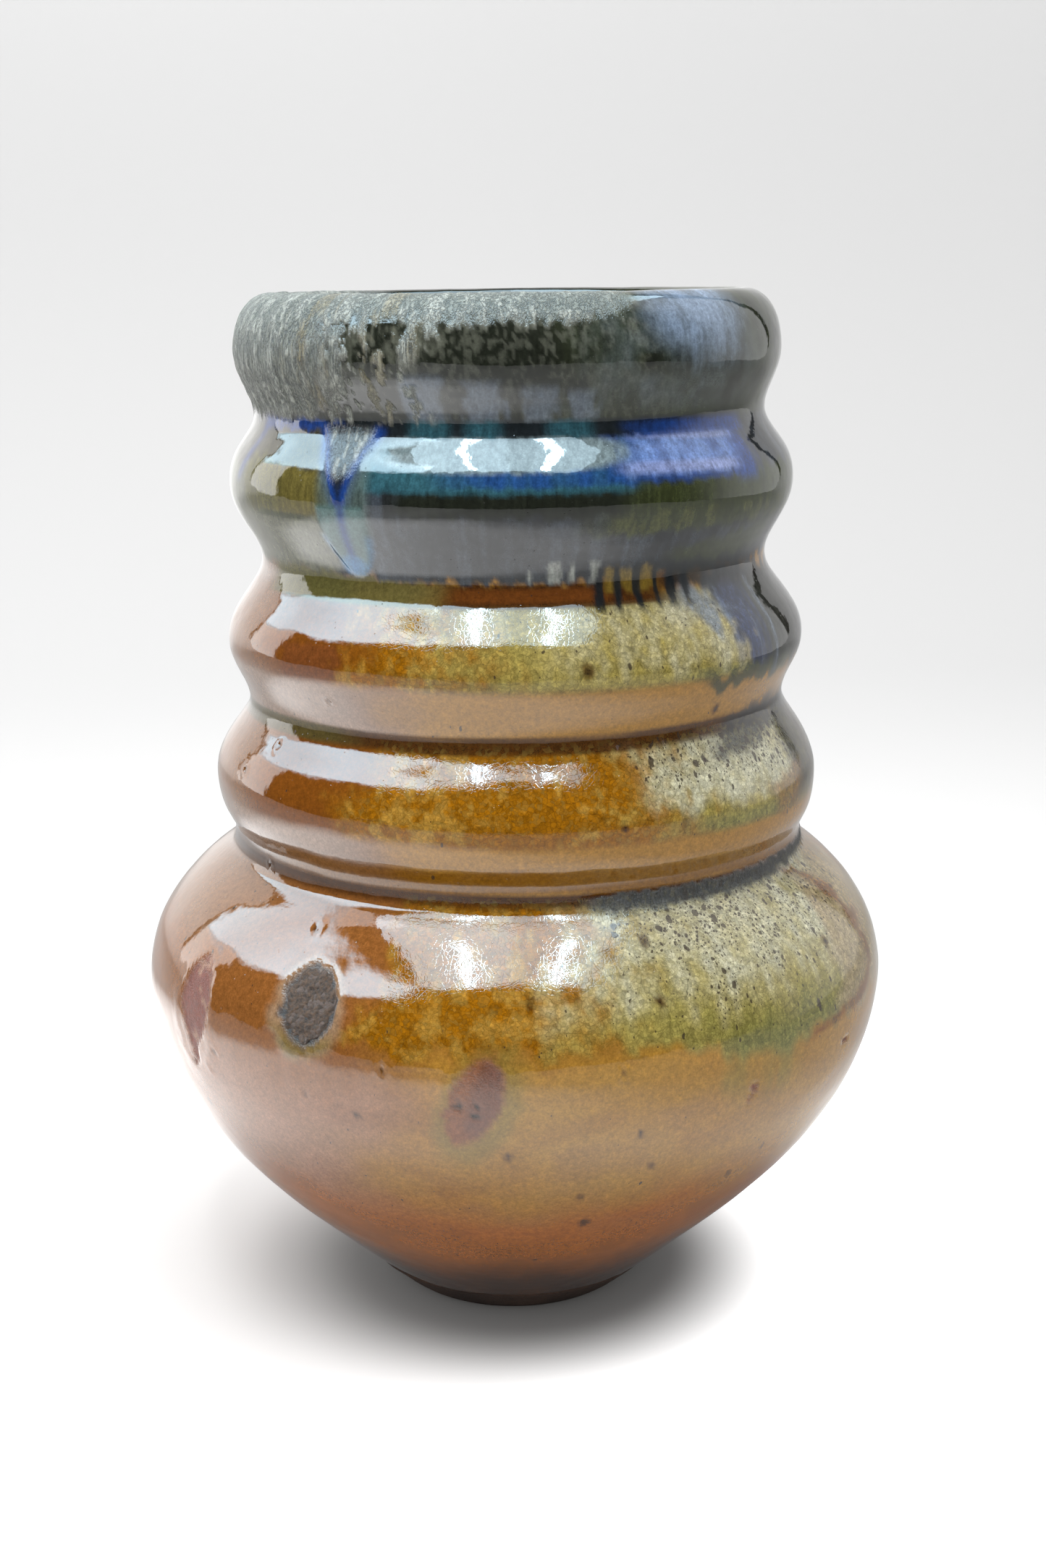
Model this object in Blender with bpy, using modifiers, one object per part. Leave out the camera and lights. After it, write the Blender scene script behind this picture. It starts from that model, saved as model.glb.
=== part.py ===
"""A tall stoneware vase: a thrown bowl, a ribbed neck luted onto it, and the glaze coats.

Metres, +Z up. The origin is the centre of the foot on the table, and -Y is the front.
Every clay wall and every glaze coat is turned from the same two outlines, one outside and
one inside, so moving one station of an outline moves all the layers together.
"""

import math

import bmesh
import bpy
from mathutils import Matrix, Vector

MM = 0.001

# Driving dimensions, in millimetres. A station is (radius, height).
HEIGHT = 300.0
LIP_CREST_RADIUS = 67.5
LIP_INNER = (62.0, 293.5)
RIBS = (
    (78.5, 284.0),
    (73.6, 266.7),
    (81.75, 247.0),
    (73.6, 225.5),
    (84.55, 202.0),
    (79.2, 185.6),
    (89.3, 162.0),
    (85.2, 144.5),
)
# How much tighter each stretch between two stations curves at its groove than at its rib.
GROOVE_TIGHTNESS = (0.2, 0.42, 0.15, 0.22, 0.1, 0.2, 0.35)
CREASE_BOTTOM = 142.5
CREASE_FILLET = 4.0
CREASE_FILLET_TURN = math.radians(55)
BELLY = (
    (86.9, 139.2),
    (95.3, 132.6),
    (103.3, 123.8),
    (108.6, 113.9),
    (110.8, 101.5),
    (108.8, 87.0),
    (103.0, 71.4),
    (93.0, 55.5),
    (78.6, 39.0),
    (60.1, 21.3),
    (36.4, 0.0),
)

NECK_WALL = 7.8
BOWL_WALL = 9.0
FLOOR_CORNER_HEIGHT = 18.0
FLOOR = ((36.0, 13.2), (20.0, 11.4), (0.0, 11.0))
FOOT_EDGE_CHAMFER = 0.8
FOOT_FACE_INNER_RADIUS = 26.0
FOOT_RECESS = 3.0
FOOT_RECESS_RADIUS = 23.5

OUTER_GLAZE = 1.0
LINER_GLAZE = 0.6
LAYER_GAP = 0.3
NECK_GLAZE_INNER_END = 290.0
LINER_TOP = NECK_GLAZE_INNER_END - LAYER_GAP
NECK_GLAZE_BOTTOM = 221.0
BODY_GLAZE_BOTTOM = 9.0
SEAM_HEIGHT = 144.2
SEAM_THICKNESS = 1.0

# A pot dries and fires a little out of true: how far the axis stands to the right of
# the foot's at each height, and how the neck's rings tip up to the right.
AXIS_SWAY = (
    (0.0, -0.4),
    (100.0, 0.0),
    (140.0, 1.2),
    (162.0, 0.5),
    (202.0, 0.4),
    (247.0, -0.7),
    (284.0, -1.8),
    (300.0, -1.9),
)
NECK_TIP = 0.0125
NECK_TIP_START = 165.0
NECK_TIP_END = 186.0

# Firing scars: the name, the angle round from the front in degrees (to the right is
# positive), the height, the half width, the half length, and how far its top leans to
# the right in degrees.
SCARS = (
    ("wad_scar", -30.8, 117.0, 8.6, 12.2, 0.0),
    ("shell_scar_left", -53.8, 104.5, 8.4, 16.0, 0.0),
    ("shell_scar_front", -5.2, 96.8, 7.2, 13.0, 16.0),
)
SCAR_CUT_DEPTH = 14.0
SCAR_CUT_SIDES = 28

TURN_STEPS = 36
RIB_STEPS = 3
HOLLOW_STEPS = 2
LIP_STEPS = 4
BELLY_STEPS = 1
FILLET_STEPS = 2


# Outlines: lists of (radius, height) in millimetres.


def ellipse_arc(centre, half_width, half_height, start, end, steps):
    """Points of an ellipse, its last point left out. The angles are in degrees."""
    arc = []
    for i in range(steps):
        angle = math.radians(start + (end - start) * i / steps)
        arc.append((centre[0] + half_width * math.cos(angle), centre[1] + half_height * math.sin(angle)))
    return arc


def half_wave(start, end, tightness, steps):
    """A stretch from a rib to a groove or back, level at both ends, its last point left out."""
    low, high = sorted((start[0], end[0]))
    wave = []
    for i in range(steps):
        along = i / steps
        from_groove = along if start[0] < end[0] else 1 - along
        bent = from_groove + tightness * from_groove * (1 - from_groove)
        radius = low + (high - low) * (1 - math.cos(math.pi * bent)) / 2
        wave.append((radius, start[1] + (end[1] - start[1]) * along))
    return wave


def smooth_through(points, steps):
    """A Catmull-Rom curve through the points."""
    knots = [Vector(point) for point in points]
    knots = [2 * knots[0] - knots[1]] + knots + [2 * knots[-1] - knots[-2]]
    curve = []
    for before, start, end, after in zip(knots, knots[1:], knots[2:], knots[3:]):
        for i in range(steps):
            t = i / steps
            bend = (2 * before - 5 * start + 4 * end - after) * t**2
            twist = (3 * start - before - 3 * end + after) * t**3
            curve.append(tuple((2 * start + (end - before) * t + bend + twist) / 2))
    curve.append(tuple(points[-1]))
    return curve


def ribbed(stations, steps):
    outline = []
    for start, end, tightness in zip(stations, stations[1:], GROOVE_TIGHTNESS):
        outline += half_wave(start, end, tightness, steps)
    return outline


def offset(outline, distance):
    """The outline moved off the clay by the distance, or into it where that is negative.

    An outline runs up the inside, over the lip and down the outside.
    """
    moved = []
    for i, point in enumerate(outline):
        before = Vector(outline[max(i - 1, 0)])
        after = Vector(outline[min(i + 1, len(outline) - 1)])
        run = (after - before).normalized()
        moved.append((point[0] - distance * run.y, point[1] + distance * run.x))
    return moved


def at_height(start, end, height):
    share = (height - start[1]) / (end[1] - start[1])
    return (start[0] + (end[0] - start[0]) * share, height)


def between(outline, low, high):
    """The part of the outline between two heights, with its ends exactly on them."""
    part = []
    for start, end in zip(outline, outline[1:]):
        crossed = [h for h in (low, high) if min(start[1], end[1]) < h < max(start[1], end[1])]
        crossed.sort(key=lambda h: abs(h - start[1]))
        if low <= start[1] <= high:
            part.append(start)
        part += [at_height(start, end, h) for h in crossed]
    if low <= outline[-1][1] <= high:
        part.append(outline[-1])
    return part


def outer_outline():
    """From the lip's crest down the outside to the foot."""
    lip_centre = (LIP_CREST_RADIUS, RIBS[0][1])
    lip_width = RIBS[0][0] - LIP_CREST_RADIUS
    lip = ellipse_arc(lip_centre, lip_width, HEIGHT - RIBS[0][1], 90, 0, LIP_STEPS)
    fillet_centre = (RIBS[-1][0] + CREASE_FILLET, CREASE_BOTTOM)
    turn = math.degrees(CREASE_FILLET_TURN)
    fillet = ellipse_arc(fillet_centre, CREASE_FILLET, CREASE_FILLET, 180, 180 + turn, FILLET_STEPS)
    return lip + ribbed(RIBS, RIB_STEPS) + [RIBS[-1]] + fillet + smooth_through(BELLY, BELLY_STEPS)


def inner_outline():
    """From the middle of the floor up the inside to the lip's crest."""
    walls = [NECK_WALL] * (len(RIBS) - 1) + [BOWL_WALL]
    hollows = [(radius - wall, height) for (radius, height), wall in zip(RIBS, walls)]
    lip_centre = (LIP_CREST_RADIUS, LIP_INNER[1])
    lip_width = LIP_CREST_RADIUS - LIP_INNER[0]
    lip = ellipse_arc(lip_centre, lip_width, HEIGHT - LIP_INNER[1], 90, 180, LIP_STEPS)
    lip += half_wave(LIP_INNER, hollows[0], 0, HOLLOW_STEPS)
    bowl = offset(smooth_through(BELLY, 1), -BOWL_WALL)
    bowl = between(bowl, FLOOR_CORNER_HEIGHT, CREASE_BOTTOM)
    down = lip + ribbed(hollows, HOLLOW_STEPS) + [hollows[-1]] + bowl + list(FLOOR)
    return down[::-1]


# Scene helpers


def new_collection(name):
    collection = bpy.data.collections.new(name)
    bpy.context.scene.collection.children.link(collection)
    return collection


def new_material(name, colour, roughness, coat=0.0):
    material = bpy.data.materials.new(name)
    material.use_nodes = True
    shader = material.node_tree.nodes["Principled BSDF"]
    shader.inputs["Base Color"].default_value = (*colour, 1)
    shader.inputs["Roughness"].default_value = roughness
    shader.inputs["Metallic"].default_value = 0.0
    shader.inputs["Coat Weight"].default_value = coat
    material.diffuse_color = (*colour, 1)
    return material


def axis_sway(height):
    """How far the axis stands from the origin's at this height, in millimetres."""
    for (low, sway_low), (high, sway_high) in zip(AXIS_SWAY, AXIS_SWAY[1:]):
        if height <= high:
            return sway_low + (sway_high - sway_low) * (height - low) / (high - low)
    return AXIS_SWAY[-1][1]


def out_of_true(point):
    """A point of the true turned shape, in metres, moved to where firing left it."""
    height = point.z / MM
    start, end = NECK_TIP_START, NECK_TIP_END
    share = min(max((height - start) / (end - start), 0), 1)
    tip = NECK_TIP * share**2 * (3 - 2 * share)
    return Vector((point.x + axis_sway(height) * MM, point.y, point.z + tip * point.x))


def turned(name, outline, closed, material, collection):
    """An outline in millimetres turned round Z by a Screw, and then set out of true."""
    count = len(outline)
    edges = [(i, i + 1) for i in range(count - 1)]
    if closed:
        edges.append((count - 1, 0))
    profile = bpy.data.meshes.new(name + "_profile")
    profile.from_pydata([(radius * MM, 0, height * MM) for radius, height in outline], edges, [])
    obj = bpy.data.objects.new(name, profile)
    collection.objects.link(obj)
    screw = obj.modifiers.new("Turn", "SCREW")
    screw.angle = math.tau
    screw.steps = TURN_STEPS
    screw.render_steps = TURN_STEPS
    screw.use_merge_vertices = True
    screw.merge_threshold = 0.00001
    bpy.context.view_layer.update()
    graph = bpy.context.evaluated_depsgraph_get()
    mesh = bpy.data.meshes.new_from_object(obj.evaluated_get(graph))
    obj.modifiers.clear()
    obj.data = mesh
    bpy.data.meshes.remove(profile)
    mesh.name = name
    for vertex in mesh.vertices:
        vertex.co = out_of_true(vertex.co)
    mesh.shade_smooth()
    mesh.set_sharp_from_angle(angle=math.radians(40))
    mesh.materials.append(material)
    return obj


def coat(name, outline, thickness, material, collection):
    """A glaze coat of even thickness whose face is the outline."""
    return turned(name, outline + offset(outline, -thickness)[::-1], True, material, collection)


# The pieces


def make_lower_body(outside, inside, material, collection):
    seam_bottom = SEAM_HEIGHT - SEAM_THICKNESS / 2 - LAYER_GAP
    hollow = between(offset(inside, -LINER_GLAZE - LAYER_GAP), 0, seam_bottom)
    hollow[0] = (0.0, hollow[0][1])
    under_glaze = between(offset(outside, -OUTER_GLAZE - LAYER_GAP), BODY_GLAZE_BOTTOM, seam_bottom)
    bare = between(outside, 0, BODY_GLAZE_BOTTOM - 2 * LAYER_GAP)
    foot_edge = bare.pop()
    foot = [
        at_height(bare[-1], foot_edge, FOOT_EDGE_CHAMFER),
        (foot_edge[0] - FOOT_EDGE_CHAMFER, 0.0),
        (FOOT_FACE_INNER_RADIUS, 0.0),
        (FOOT_RECESS_RADIUS, FOOT_RECESS),
        (0.0, FOOT_RECESS),
    ]
    turned("lower_body", hollow + under_glaze + bare + foot, False, material, collection)


def make_neck(outside, inside, material, collection):
    seam_top = SEAM_HEIGHT + SEAM_THICKNESS / 2 + LAYER_GAP
    under_liner = offset(between(inside, 0, LINER_TOP), -LINER_GLAZE - LAYER_GAP)
    hollow = between(under_liner, seam_top, HEIGHT)
    lip_inside = between(inside, NECK_GLAZE_INNER_END, HEIGHT)[:-1]
    over_lip = offset(lip_inside + outside, -OUTER_GLAZE - LAYER_GAP)
    under_glaze = between(over_lip, seam_top, HEIGHT)
    turned("neck", hollow + under_glaze, True, material, collection)


def make_seam_slip(outside, inside, material, collection):
    seam_low = SEAM_HEIGHT - SEAM_THICKNESS / 2
    seam_high = SEAM_HEIGHT + SEAM_THICKNESS / 2
    hollow = between(offset(inside, -LINER_GLAZE - LAYER_GAP), seam_low, seam_high)
    under_glaze = between(offset(outside, -OUTER_GLAZE - LAYER_GAP), seam_low, seam_high)
    turned("seam_slip", hollow + under_glaze, True, material, collection)


def scar_cutter(scar, shrink, outside, collection):
    """An oval prism that points straight out of the bowl at the scar."""
    name, angle, height, half_width, half_length, lean = scar
    for start, end in zip(outside, outside[1:]):
        if end[1] <= height <= start[1]:
            radius = at_height(start, end, height)[0]
            run = (Vector(end) - Vector(start)).normalized()
    round_z = Matrix.Rotation(math.radians(angle), 4, "Z")
    out = Vector((0, run.y, run.x))
    place = out_of_true(round_z @ Vector((0, -radius, height)) * MM)
    turn = round_z @ out.to_track_quat("Z", "Y").to_matrix().to_4x4()
    turn = turn @ Matrix.Rotation(math.radians(-lean), 4, "Z")
    mesh = bpy.data.meshes.new(name)
    bm = bmesh.new()
    bmesh.ops.create_cone(
        bm,
        cap_ends=True,
        segments=SCAR_CUT_SIDES,
        radius1=1,
        radius2=1,
        depth=SCAR_CUT_DEPTH * MM,
    )
    size = Vector((half_width - shrink, half_length - shrink, 1))
    bmesh.ops.scale(bm, verts=bm.verts, vec=(size.x * MM, size.y * MM, 1))
    bmesh.ops.recalc_face_normals(bm, faces=bm.faces)
    bm.to_mesh(mesh)
    bm.free()
    cutter = bpy.data.objects.new(name + "_cutter", mesh)
    cutter.matrix_world = Matrix.Translation(place) @ turn
    cutter.hide_render = True
    cutter.display_type = "WIRE"
    collection.objects.link(cutter)
    return cutter


def cut(obj, cutter, operation):
    boolean = obj.modifiers.new(cutter.name, "BOOLEAN")
    boolean.operation = operation
    boolean.solver = "EXACT"
    boolean.object = cutter


def main():
    for obj in list(bpy.data.objects):
        bpy.data.objects.remove(obj, do_unlink=True)
    vase = new_collection("stoneware_vase")
    cutters = new_collection("vase_cutters")

    clay = new_material("stoneware_clay", (0.27, 0.12, 0.06), 0.65)
    slip = new_material("luting_slip", (0.42, 0.25, 0.15), 0.7)
    ash_glaze = new_material("ash_glaze", (0.33, 0.17, 0.045), 0.12, 0.6)
    cobalt_glaze = new_material("cobalt_glaze", (0.04, 0.065, 0.08), 0.1, 0.7)
    liner = new_material("liner_glaze", (0.12, 0.1, 0.07), 0.2, 0.5)
    grit = new_material("wad_grit", (0.07, 0.055, 0.05), 0.85)

    outside = outer_outline()
    inside = inner_outline()

    make_lower_body(outside, inside, clay, vase)
    make_neck(outside, inside, clay, vase)
    make_seam_slip(outside, inside, slip, vase)

    lip_inside = between(inside, NECK_GLAZE_INNER_END, HEIGHT)[:-1]
    neck_face = lip_inside + between(outside, NECK_GLAZE_BOTTOM, HEIGHT)
    coat("neck_glaze", neck_face, OUTER_GLAZE, cobalt_glaze, vase)

    body_face = between(outside, BODY_GLAZE_BOTTOM, NECK_GLAZE_BOTTOM - LAYER_GAP)
    body_glaze = coat("body_glaze", body_face, OUTER_GLAZE, ash_glaze, vase)
    wad_face = between(outside, SCARS[0][2] - 25, SCARS[0][2] + 20)
    wad_residue = coat("wad_residue", wad_face, OUTER_GLAZE, grit, vase)
    for scar in SCARS:
        cut(body_glaze, scar_cutter(scar, 0, outside, cutters), "DIFFERENCE")
    wad_cutter = scar_cutter(SCARS[0], LAYER_GAP, outside, cutters)
    cut(wad_residue, wad_cutter, "INTERSECT")

    liner_face = between(inside, 0, LINER_TOP)
    liner_back = offset(liner_face, -LINER_GLAZE)[::-1]
    liner_back[-1] = (0.0, liner_back[-1][1])
    turned("liner_glaze", liner_face + liner_back, False, liner, vase)


main()
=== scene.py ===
"""The looks of the stoneware vase: its glaze coats, bare clay and scars, with light and camera.

Metres, +Z up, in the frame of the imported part. Heights and radii here are in millimetres,
as a potter would give them, and are turned into metres when a mesh is made. A place on
the pot is an angle round from the front in degrees (to the right is positive) and a height.
"""

import math

import bpy
import numpy as np
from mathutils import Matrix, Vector


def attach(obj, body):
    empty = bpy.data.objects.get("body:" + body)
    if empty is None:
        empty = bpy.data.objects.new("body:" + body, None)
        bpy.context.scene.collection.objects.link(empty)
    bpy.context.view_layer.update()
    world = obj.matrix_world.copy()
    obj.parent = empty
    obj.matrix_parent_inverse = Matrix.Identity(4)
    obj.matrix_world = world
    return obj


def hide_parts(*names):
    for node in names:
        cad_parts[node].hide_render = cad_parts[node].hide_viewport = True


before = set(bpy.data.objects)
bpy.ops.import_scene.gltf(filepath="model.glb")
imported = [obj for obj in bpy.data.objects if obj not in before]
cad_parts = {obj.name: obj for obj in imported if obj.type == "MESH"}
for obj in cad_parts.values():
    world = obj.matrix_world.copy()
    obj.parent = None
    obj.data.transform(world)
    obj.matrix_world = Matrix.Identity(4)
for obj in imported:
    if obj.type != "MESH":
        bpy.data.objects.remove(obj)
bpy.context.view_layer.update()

MM = 0.001

# ---- the pot's form, as in the CAD

HEIGHT = 300.0
LIP_CREST_RADIUS = 67.5
LIP_INNER = (62.0, 293.5)
RIBS = (
    (78.5, 284.0),
    (73.6, 266.7),
    (81.75, 247.0),
    (73.6, 225.5),
    (84.55, 202.0),
    (79.2, 185.6),
    (89.3, 162.0),
    (85.2, 144.5),
)
GROOVE_TIGHTNESS = (0.2, 0.42, 0.15, 0.22, 0.1, 0.2, 0.35)
CREASE_BOTTOM = 142.5
CREASE_FILLET = 4.0
CREASE_FILLET_TURN = 55.0
BELLY = (
    (86.9, 139.2),
    (95.3, 132.6),
    (103.3, 123.8),
    (108.6, 113.9),
    (110.8, 101.5),
    (108.8, 87.0),
    (103.0, 71.4),
    (93.0, 55.5),
    (78.6, 39.0),
    (60.1, 21.3),
    (36.4, 0.0),
)
NECK_WALL = 7.8
BOWL_WALL = 9.0
FLOOR_CORNER_HEIGHT = 18.0
FLOOR = ((36.0, 13.2), (20.0, 11.4), (0.0, 11.0))
FOOT_EDGE_CHAMFER = 0.8
FOOT_FACE_INNER_RADIUS = 26.0
FOOT_RECESS = 3.0
FOOT_RECESS_RADIUS = 23.5
OUTER_GLAZE = 1.0
LINER_GLAZE = 0.6
LAYER_GAP = 0.3
NECK_GLAZE_INNER_END = 290.0
NECK_GLAZE_BOTTOM = 221.0
RIB_GLAZE_BOTTOM = 143.4
BODY_GLAZE_BOTTOM = 9.0
SEAM_BOTTOM = 143.4
AXIS_SWAY = (
    (0.0, -0.4),
    (100.0, 0.0),
    (140.0, 1.2),
    (162.0, 0.5),
    (202.0, 0.4),
    (247.0, -0.7),
    (284.0, -1.8),
    (300.0, -1.9),
)
NECK_TIP = 0.0125
NECK_TIP_START = 165.0
NECK_TIP_END = 186.0

# ---- how finely the meshes are cut

NECK_COLUMNS = 720
BOWL_COLUMNS = 600
PLAIN_COLUMNS = 288
NECK_ROW = 0.85
RIB_ROW = 0.95
BOWL_ROW = 1.4
BACK_ROW = 4.0
PLAIN_ROW = 2.0
OUTLINE_STEPS = 40
GLAZE_INSET = 0.35


# ---- outlines


def ellipse_arc(centre, half_width, half_height, start, end):
    angle = np.radians(np.linspace(start, end, OUTLINE_STEPS, endpoint=False))
    return np.c_[centre[0] + half_width * np.cos(angle), centre[1] + half_height * np.sin(angle)]


def half_wave(start, end, tightness):
    """A stretch from a rib to a groove or back, level at both ends, its last point left out."""
    along = np.linspace(0, 1, OUTLINE_STEPS, endpoint=False)
    from_groove = along if start[0] < end[0] else 1 - along
    bent = from_groove + tightness * from_groove * (1 - from_groove)
    low, high = sorted((start[0], end[0]))
    radius = low + (high - low) * (1 - np.cos(np.pi * bent)) / 2
    return np.c_[radius, start[1] + (end[1] - start[1]) * along]


def smooth_through(points):
    """A Catmull-Rom curve through the points."""
    knots = np.array(points, float)
    knots = np.vstack([2 * knots[0] - knots[1], knots, 2 * knots[-1] - knots[-2]])
    t = np.linspace(0, 1, OUTLINE_STEPS, endpoint=False)[:, None]
    curve = []
    for before, start, end, after in zip(knots, knots[1:], knots[2:], knots[3:]):
        bend = (2 * before - 5 * start + 4 * end - after) * t**2
        twist = (3 * start - before - 3 * end + after) * t**3
        curve.append((2 * start + (end - before) * t + bend + twist) / 2)
    return np.vstack(curve + [knots[-2:-1]])


def ribbed(stations):
    stretches = zip(stations, stations[1:], GROOVE_TIGHTNESS)
    return np.vstack([half_wave(*stretch) for stretch in stretches] + [stations[-1]])


def outward(path):
    """The unit direction off the clay at each point of a path up the inside and down the outside."""
    run = np.gradient(path, axis=0)
    run /= np.linalg.norm(run, axis=1, keepdims=True)
    return np.c_[-run[:, 1], run[:, 0]]


def crossing(start, end, heights):
    """The point, as a list of one or none, where a step of a path crosses one of the heights."""
    crossed = [h for h in heights if min(start[1], end[1]) < h < max(start[1], end[1])]
    return [start + (end - start) * (h - start[1]) / (end[1] - start[1]) for h in crossed[:1]]


def between(path, low, high):
    """The one part of the path between two heights, with its ends exactly on them."""
    kept = np.flatnonzero((path[:, 1] >= low) & (path[:, 1] <= high))
    first, last = kept[0], kept[-1]
    before = crossing(path[first - 1], path[first], (low, high)) if first > 0 else []
    after = crossing(path[last], path[last + 1], (low, high)) if last + 1 < len(path) else []
    return np.vstack([*before, *path[first : last + 1], *after])


def outer_outline():
    """From the lip's crest down the outside to the foot."""
    lip_centre = (LIP_CREST_RADIUS, RIBS[0][1])
    lip = ellipse_arc(lip_centre, RIBS[0][0] - LIP_CREST_RADIUS, HEIGHT - RIBS[0][1], 90, 0)
    fillet_centre = (RIBS[-1][0] + CREASE_FILLET, CREASE_BOTTOM)
    turn = 180 + CREASE_FILLET_TURN
    fillet = ellipse_arc(fillet_centre, CREASE_FILLET, CREASE_FILLET, 180, turn)
    return np.vstack([lip, ribbed(RIBS), fillet, smooth_through(BELLY)])


def inner_outline():
    """From the middle of the floor up the inside to the lip's crest."""
    walls = [NECK_WALL] * (len(RIBS) - 1) + [BOWL_WALL]
    hollows = [(radius - wall, height) for (radius, height), wall in zip(RIBS, walls)]
    lip_centre = (LIP_CREST_RADIUS, LIP_INNER[1])
    lip = ellipse_arc(lip_centre, LIP_CREST_RADIUS - LIP_INNER[0], HEIGHT - LIP_INNER[1], 90, 180)
    under_lip = half_wave(LIP_INNER, hollows[0], 0)
    belly = smooth_through(BELLY)
    bowl = between(belly - BOWL_WALL * outward(belly), FLOOR_CORNER_HEIGHT, CREASE_BOTTOM)
    floor = smooth_through([tuple(bowl[-1]), *FLOOR])[1:]
    return np.vstack([lip, under_lip, ribbed(hollows), bowl, floor])[::-1]


def evenly(path, spacing):
    """The path with its points spaced evenly along it."""
    steps = np.linalg.norm(np.diff(path, axis=0), axis=1)
    path = path[np.r_[True, steps > 1e-6]]
    length = np.r_[0, np.cumsum(np.linalg.norm(np.diff(path, axis=0), axis=1))]
    stops = np.linspace(0, length[-1], max(2, round(length[-1] / spacing)) + 1)
    return np.c_[np.interp(stops, length, path[:, 0]), np.interp(stops, length, path[:, 1])]


def out_of_true(points):
    """Points of the true turned shape, in millimetres, moved to where firing left them."""
    heights, sways = np.array(AXIS_SWAY).T
    share = np.clip((points[..., 2] - NECK_TIP_START) / (NECK_TIP_END - NECK_TIP_START), 0, 1)
    tip = NECK_TIP * share**2 * (3 - 2 * share)
    moved = points.copy()
    moved[..., 0] += np.interp(points[..., 2], heights, sways)
    moved[..., 2] += tip * points[..., 0]
    return moved


# ---- noise and masks


def ramp(low, high, value):
    share = np.clip((value - low) / (high - low), 0, 1)
    return share * share * (3 - 2 * share)


NOISE_TOP = 340.0
NOISE_GAIN = 1.15
GIRTH = 2 * math.pi * 85


def blotches(place, width, height, seed, octaves=3):
    """Smooth noise from about -1 to 1, with blotches of this width and height in millimetres."""
    angle, level = place
    total = np.zeros(np.broadcast(angle, level).shape)
    weight = 1.0
    for octave in range(octaves):
        cells = max(3, round(GIRTH / width))
        rows = int(NOISE_TOP / height) + 3
        table = np.random.default_rng(seed + octave).uniform(-1, 1, (rows, cells))
        across = (angle / 360 % 1) * cells
        up = level / height + 1
        column = np.floor(across).astype(int)
        row = np.clip(np.floor(up).astype(int), 0, rows - 2)
        fx = ramp(0, 1, across - column)
        fy = ramp(0, 1, up - row)
        column, after = column % cells, (column + 1) % cells
        low = table[row, column] * (1 - fx) + table[row, after] * fx
        high = table[row + 1, column] * (1 - fx) + table[row + 1, after] * fx
        total += weight * (low * (1 - fy) + high * fy)
        weight *= 0.5
        width, height = width / 2, height / 2
    return total * NOISE_GAIN


def band(value, low, high, soft):
    """1 between low and high, fading to 0 over the soft width each side."""
    return hill(value, low - soft, low + soft, high - soft, high + soft)


def hill(value, foot, top, edge, end):
    """0 up to the foot, 1 from the top to the edge, and 0 again from the end on."""
    return ramp(foot, top, value) * (1 - ramp(edge, end, value))


def bell(value, reach):
    """1 where the value is 0, fading to nearly 0 at twice the reach."""
    return np.exp(-((value / reach) ** 2))


def unit(value):
    return np.clip(value, 0, 1)


def leftward(angle, near, far):
    """1 to the left of a soft edge, fading out again round the back."""
    return ramp(near, far, angle) * ramp(-175, -130, angle)


def rightward(angle, near, far):
    """1 to the right of a soft edge, fading out again round the back."""
    return ramp(near, far, angle) * (1 - ramp(130, 175, angle))


def oval(place, spot, soft):
    """1 inside an oval and 0 outside. A spot is (angle, height, half angle, half height, lean)."""
    angle, level = place
    across = (angle - spot[0] + 180) % 360 - 180
    up = level - spot[1]
    across = across - (spot[4] if len(spot) > 4 else 0) * up
    away = np.hypot(across / spot[2], up / spot[3])
    return 1 - ramp(1 - soft, 1 + soft, away)


class Glaze:
    """What is painted on the pot at each grid point: its colour and how its surface behaves."""

    def __init__(self, place):
        shape = np.broadcast(*place).shape
        self.place = place
        self.tint = np.zeros(shape + (3,))
        self.crackle = np.zeros(shape)
        self.specks = np.zeros(shape)
        self.crust = np.zeros(shape)
        self.streaks = np.zeros(shape)
        self.dry = np.zeros(shape)
        self.relief = np.zeros(shape)

    def noise(self, width, height, seed, octaves=3):
        return blotches(self.place, width, height, seed, octaves)

    def at_least(self, layer, level):
        setattr(self, layer, np.maximum(getattr(self, layer), level))

    def lay(self, colour, mask):
        """Lays a colour over what is there, as thick as the mask says."""
        mask = np.clip(mask, 0, 1)[..., None]
        self.tint = self.tint * (1 - mask) + np.array(colour) * mask


# ---- painting

# Colours in linear light, before the glass over them takes its share.
GLASS_DEPTH = 0.40
AMBER = (0.42, 0.165, 0.004)
HONEY = (0.60, 0.340, 0.055)
OLIVE = (0.48, 0.405, 0.105)
GREEN_ASH = (0.26, 0.265, 0.070)
PALE_ASH = (0.78, 0.77, 0.56)
RUST = (0.27, 0.085, 0.008)
CHESTNUT = (0.36, 0.135, 0.030)
PEACH = (0.35, 0.170, 0.070)
LILAC_BROWN = (0.54, 0.28, 0.17)
TAN = (0.57, 0.285, 0.042)
DARK_IRON = (0.045, 0.014, 0.005)
DEEP_BROWN = (0.10, 0.035, 0.006)
BLACK_GREEN = (0.020, 0.024, 0.016)
MOSS = (0.055, 0.068, 0.022)
SLATE = (0.034, 0.039, 0.044)
BLUE_BLACK = (0.016, 0.022, 0.026)
COBALT = (0.015, 0.070, 0.330)
PERIWINKLE = (0.20, 0.34, 0.74)
BLUE_GREY = (0.22, 0.28, 0.36)
TEAL = (0.040, 0.14, 0.18)
# Partly the glaze's opal and partly a painted highlight.
OPAL_AND_PAINTED_HIGHLIGHT = (0.27, 0.36, 0.38)
CREAM = (0.21, 0.215, 0.14)
CELADON = (0.10, 0.090, 0.050)
KHAKI = (0.17, 0.155, 0.045)
ASH_GREY = (0.24, 0.255, 0.20)
ASH_WHITE = (0.66, 0.69, 0.60)
OCHRE = (0.27, 0.20, 0.055)
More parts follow.
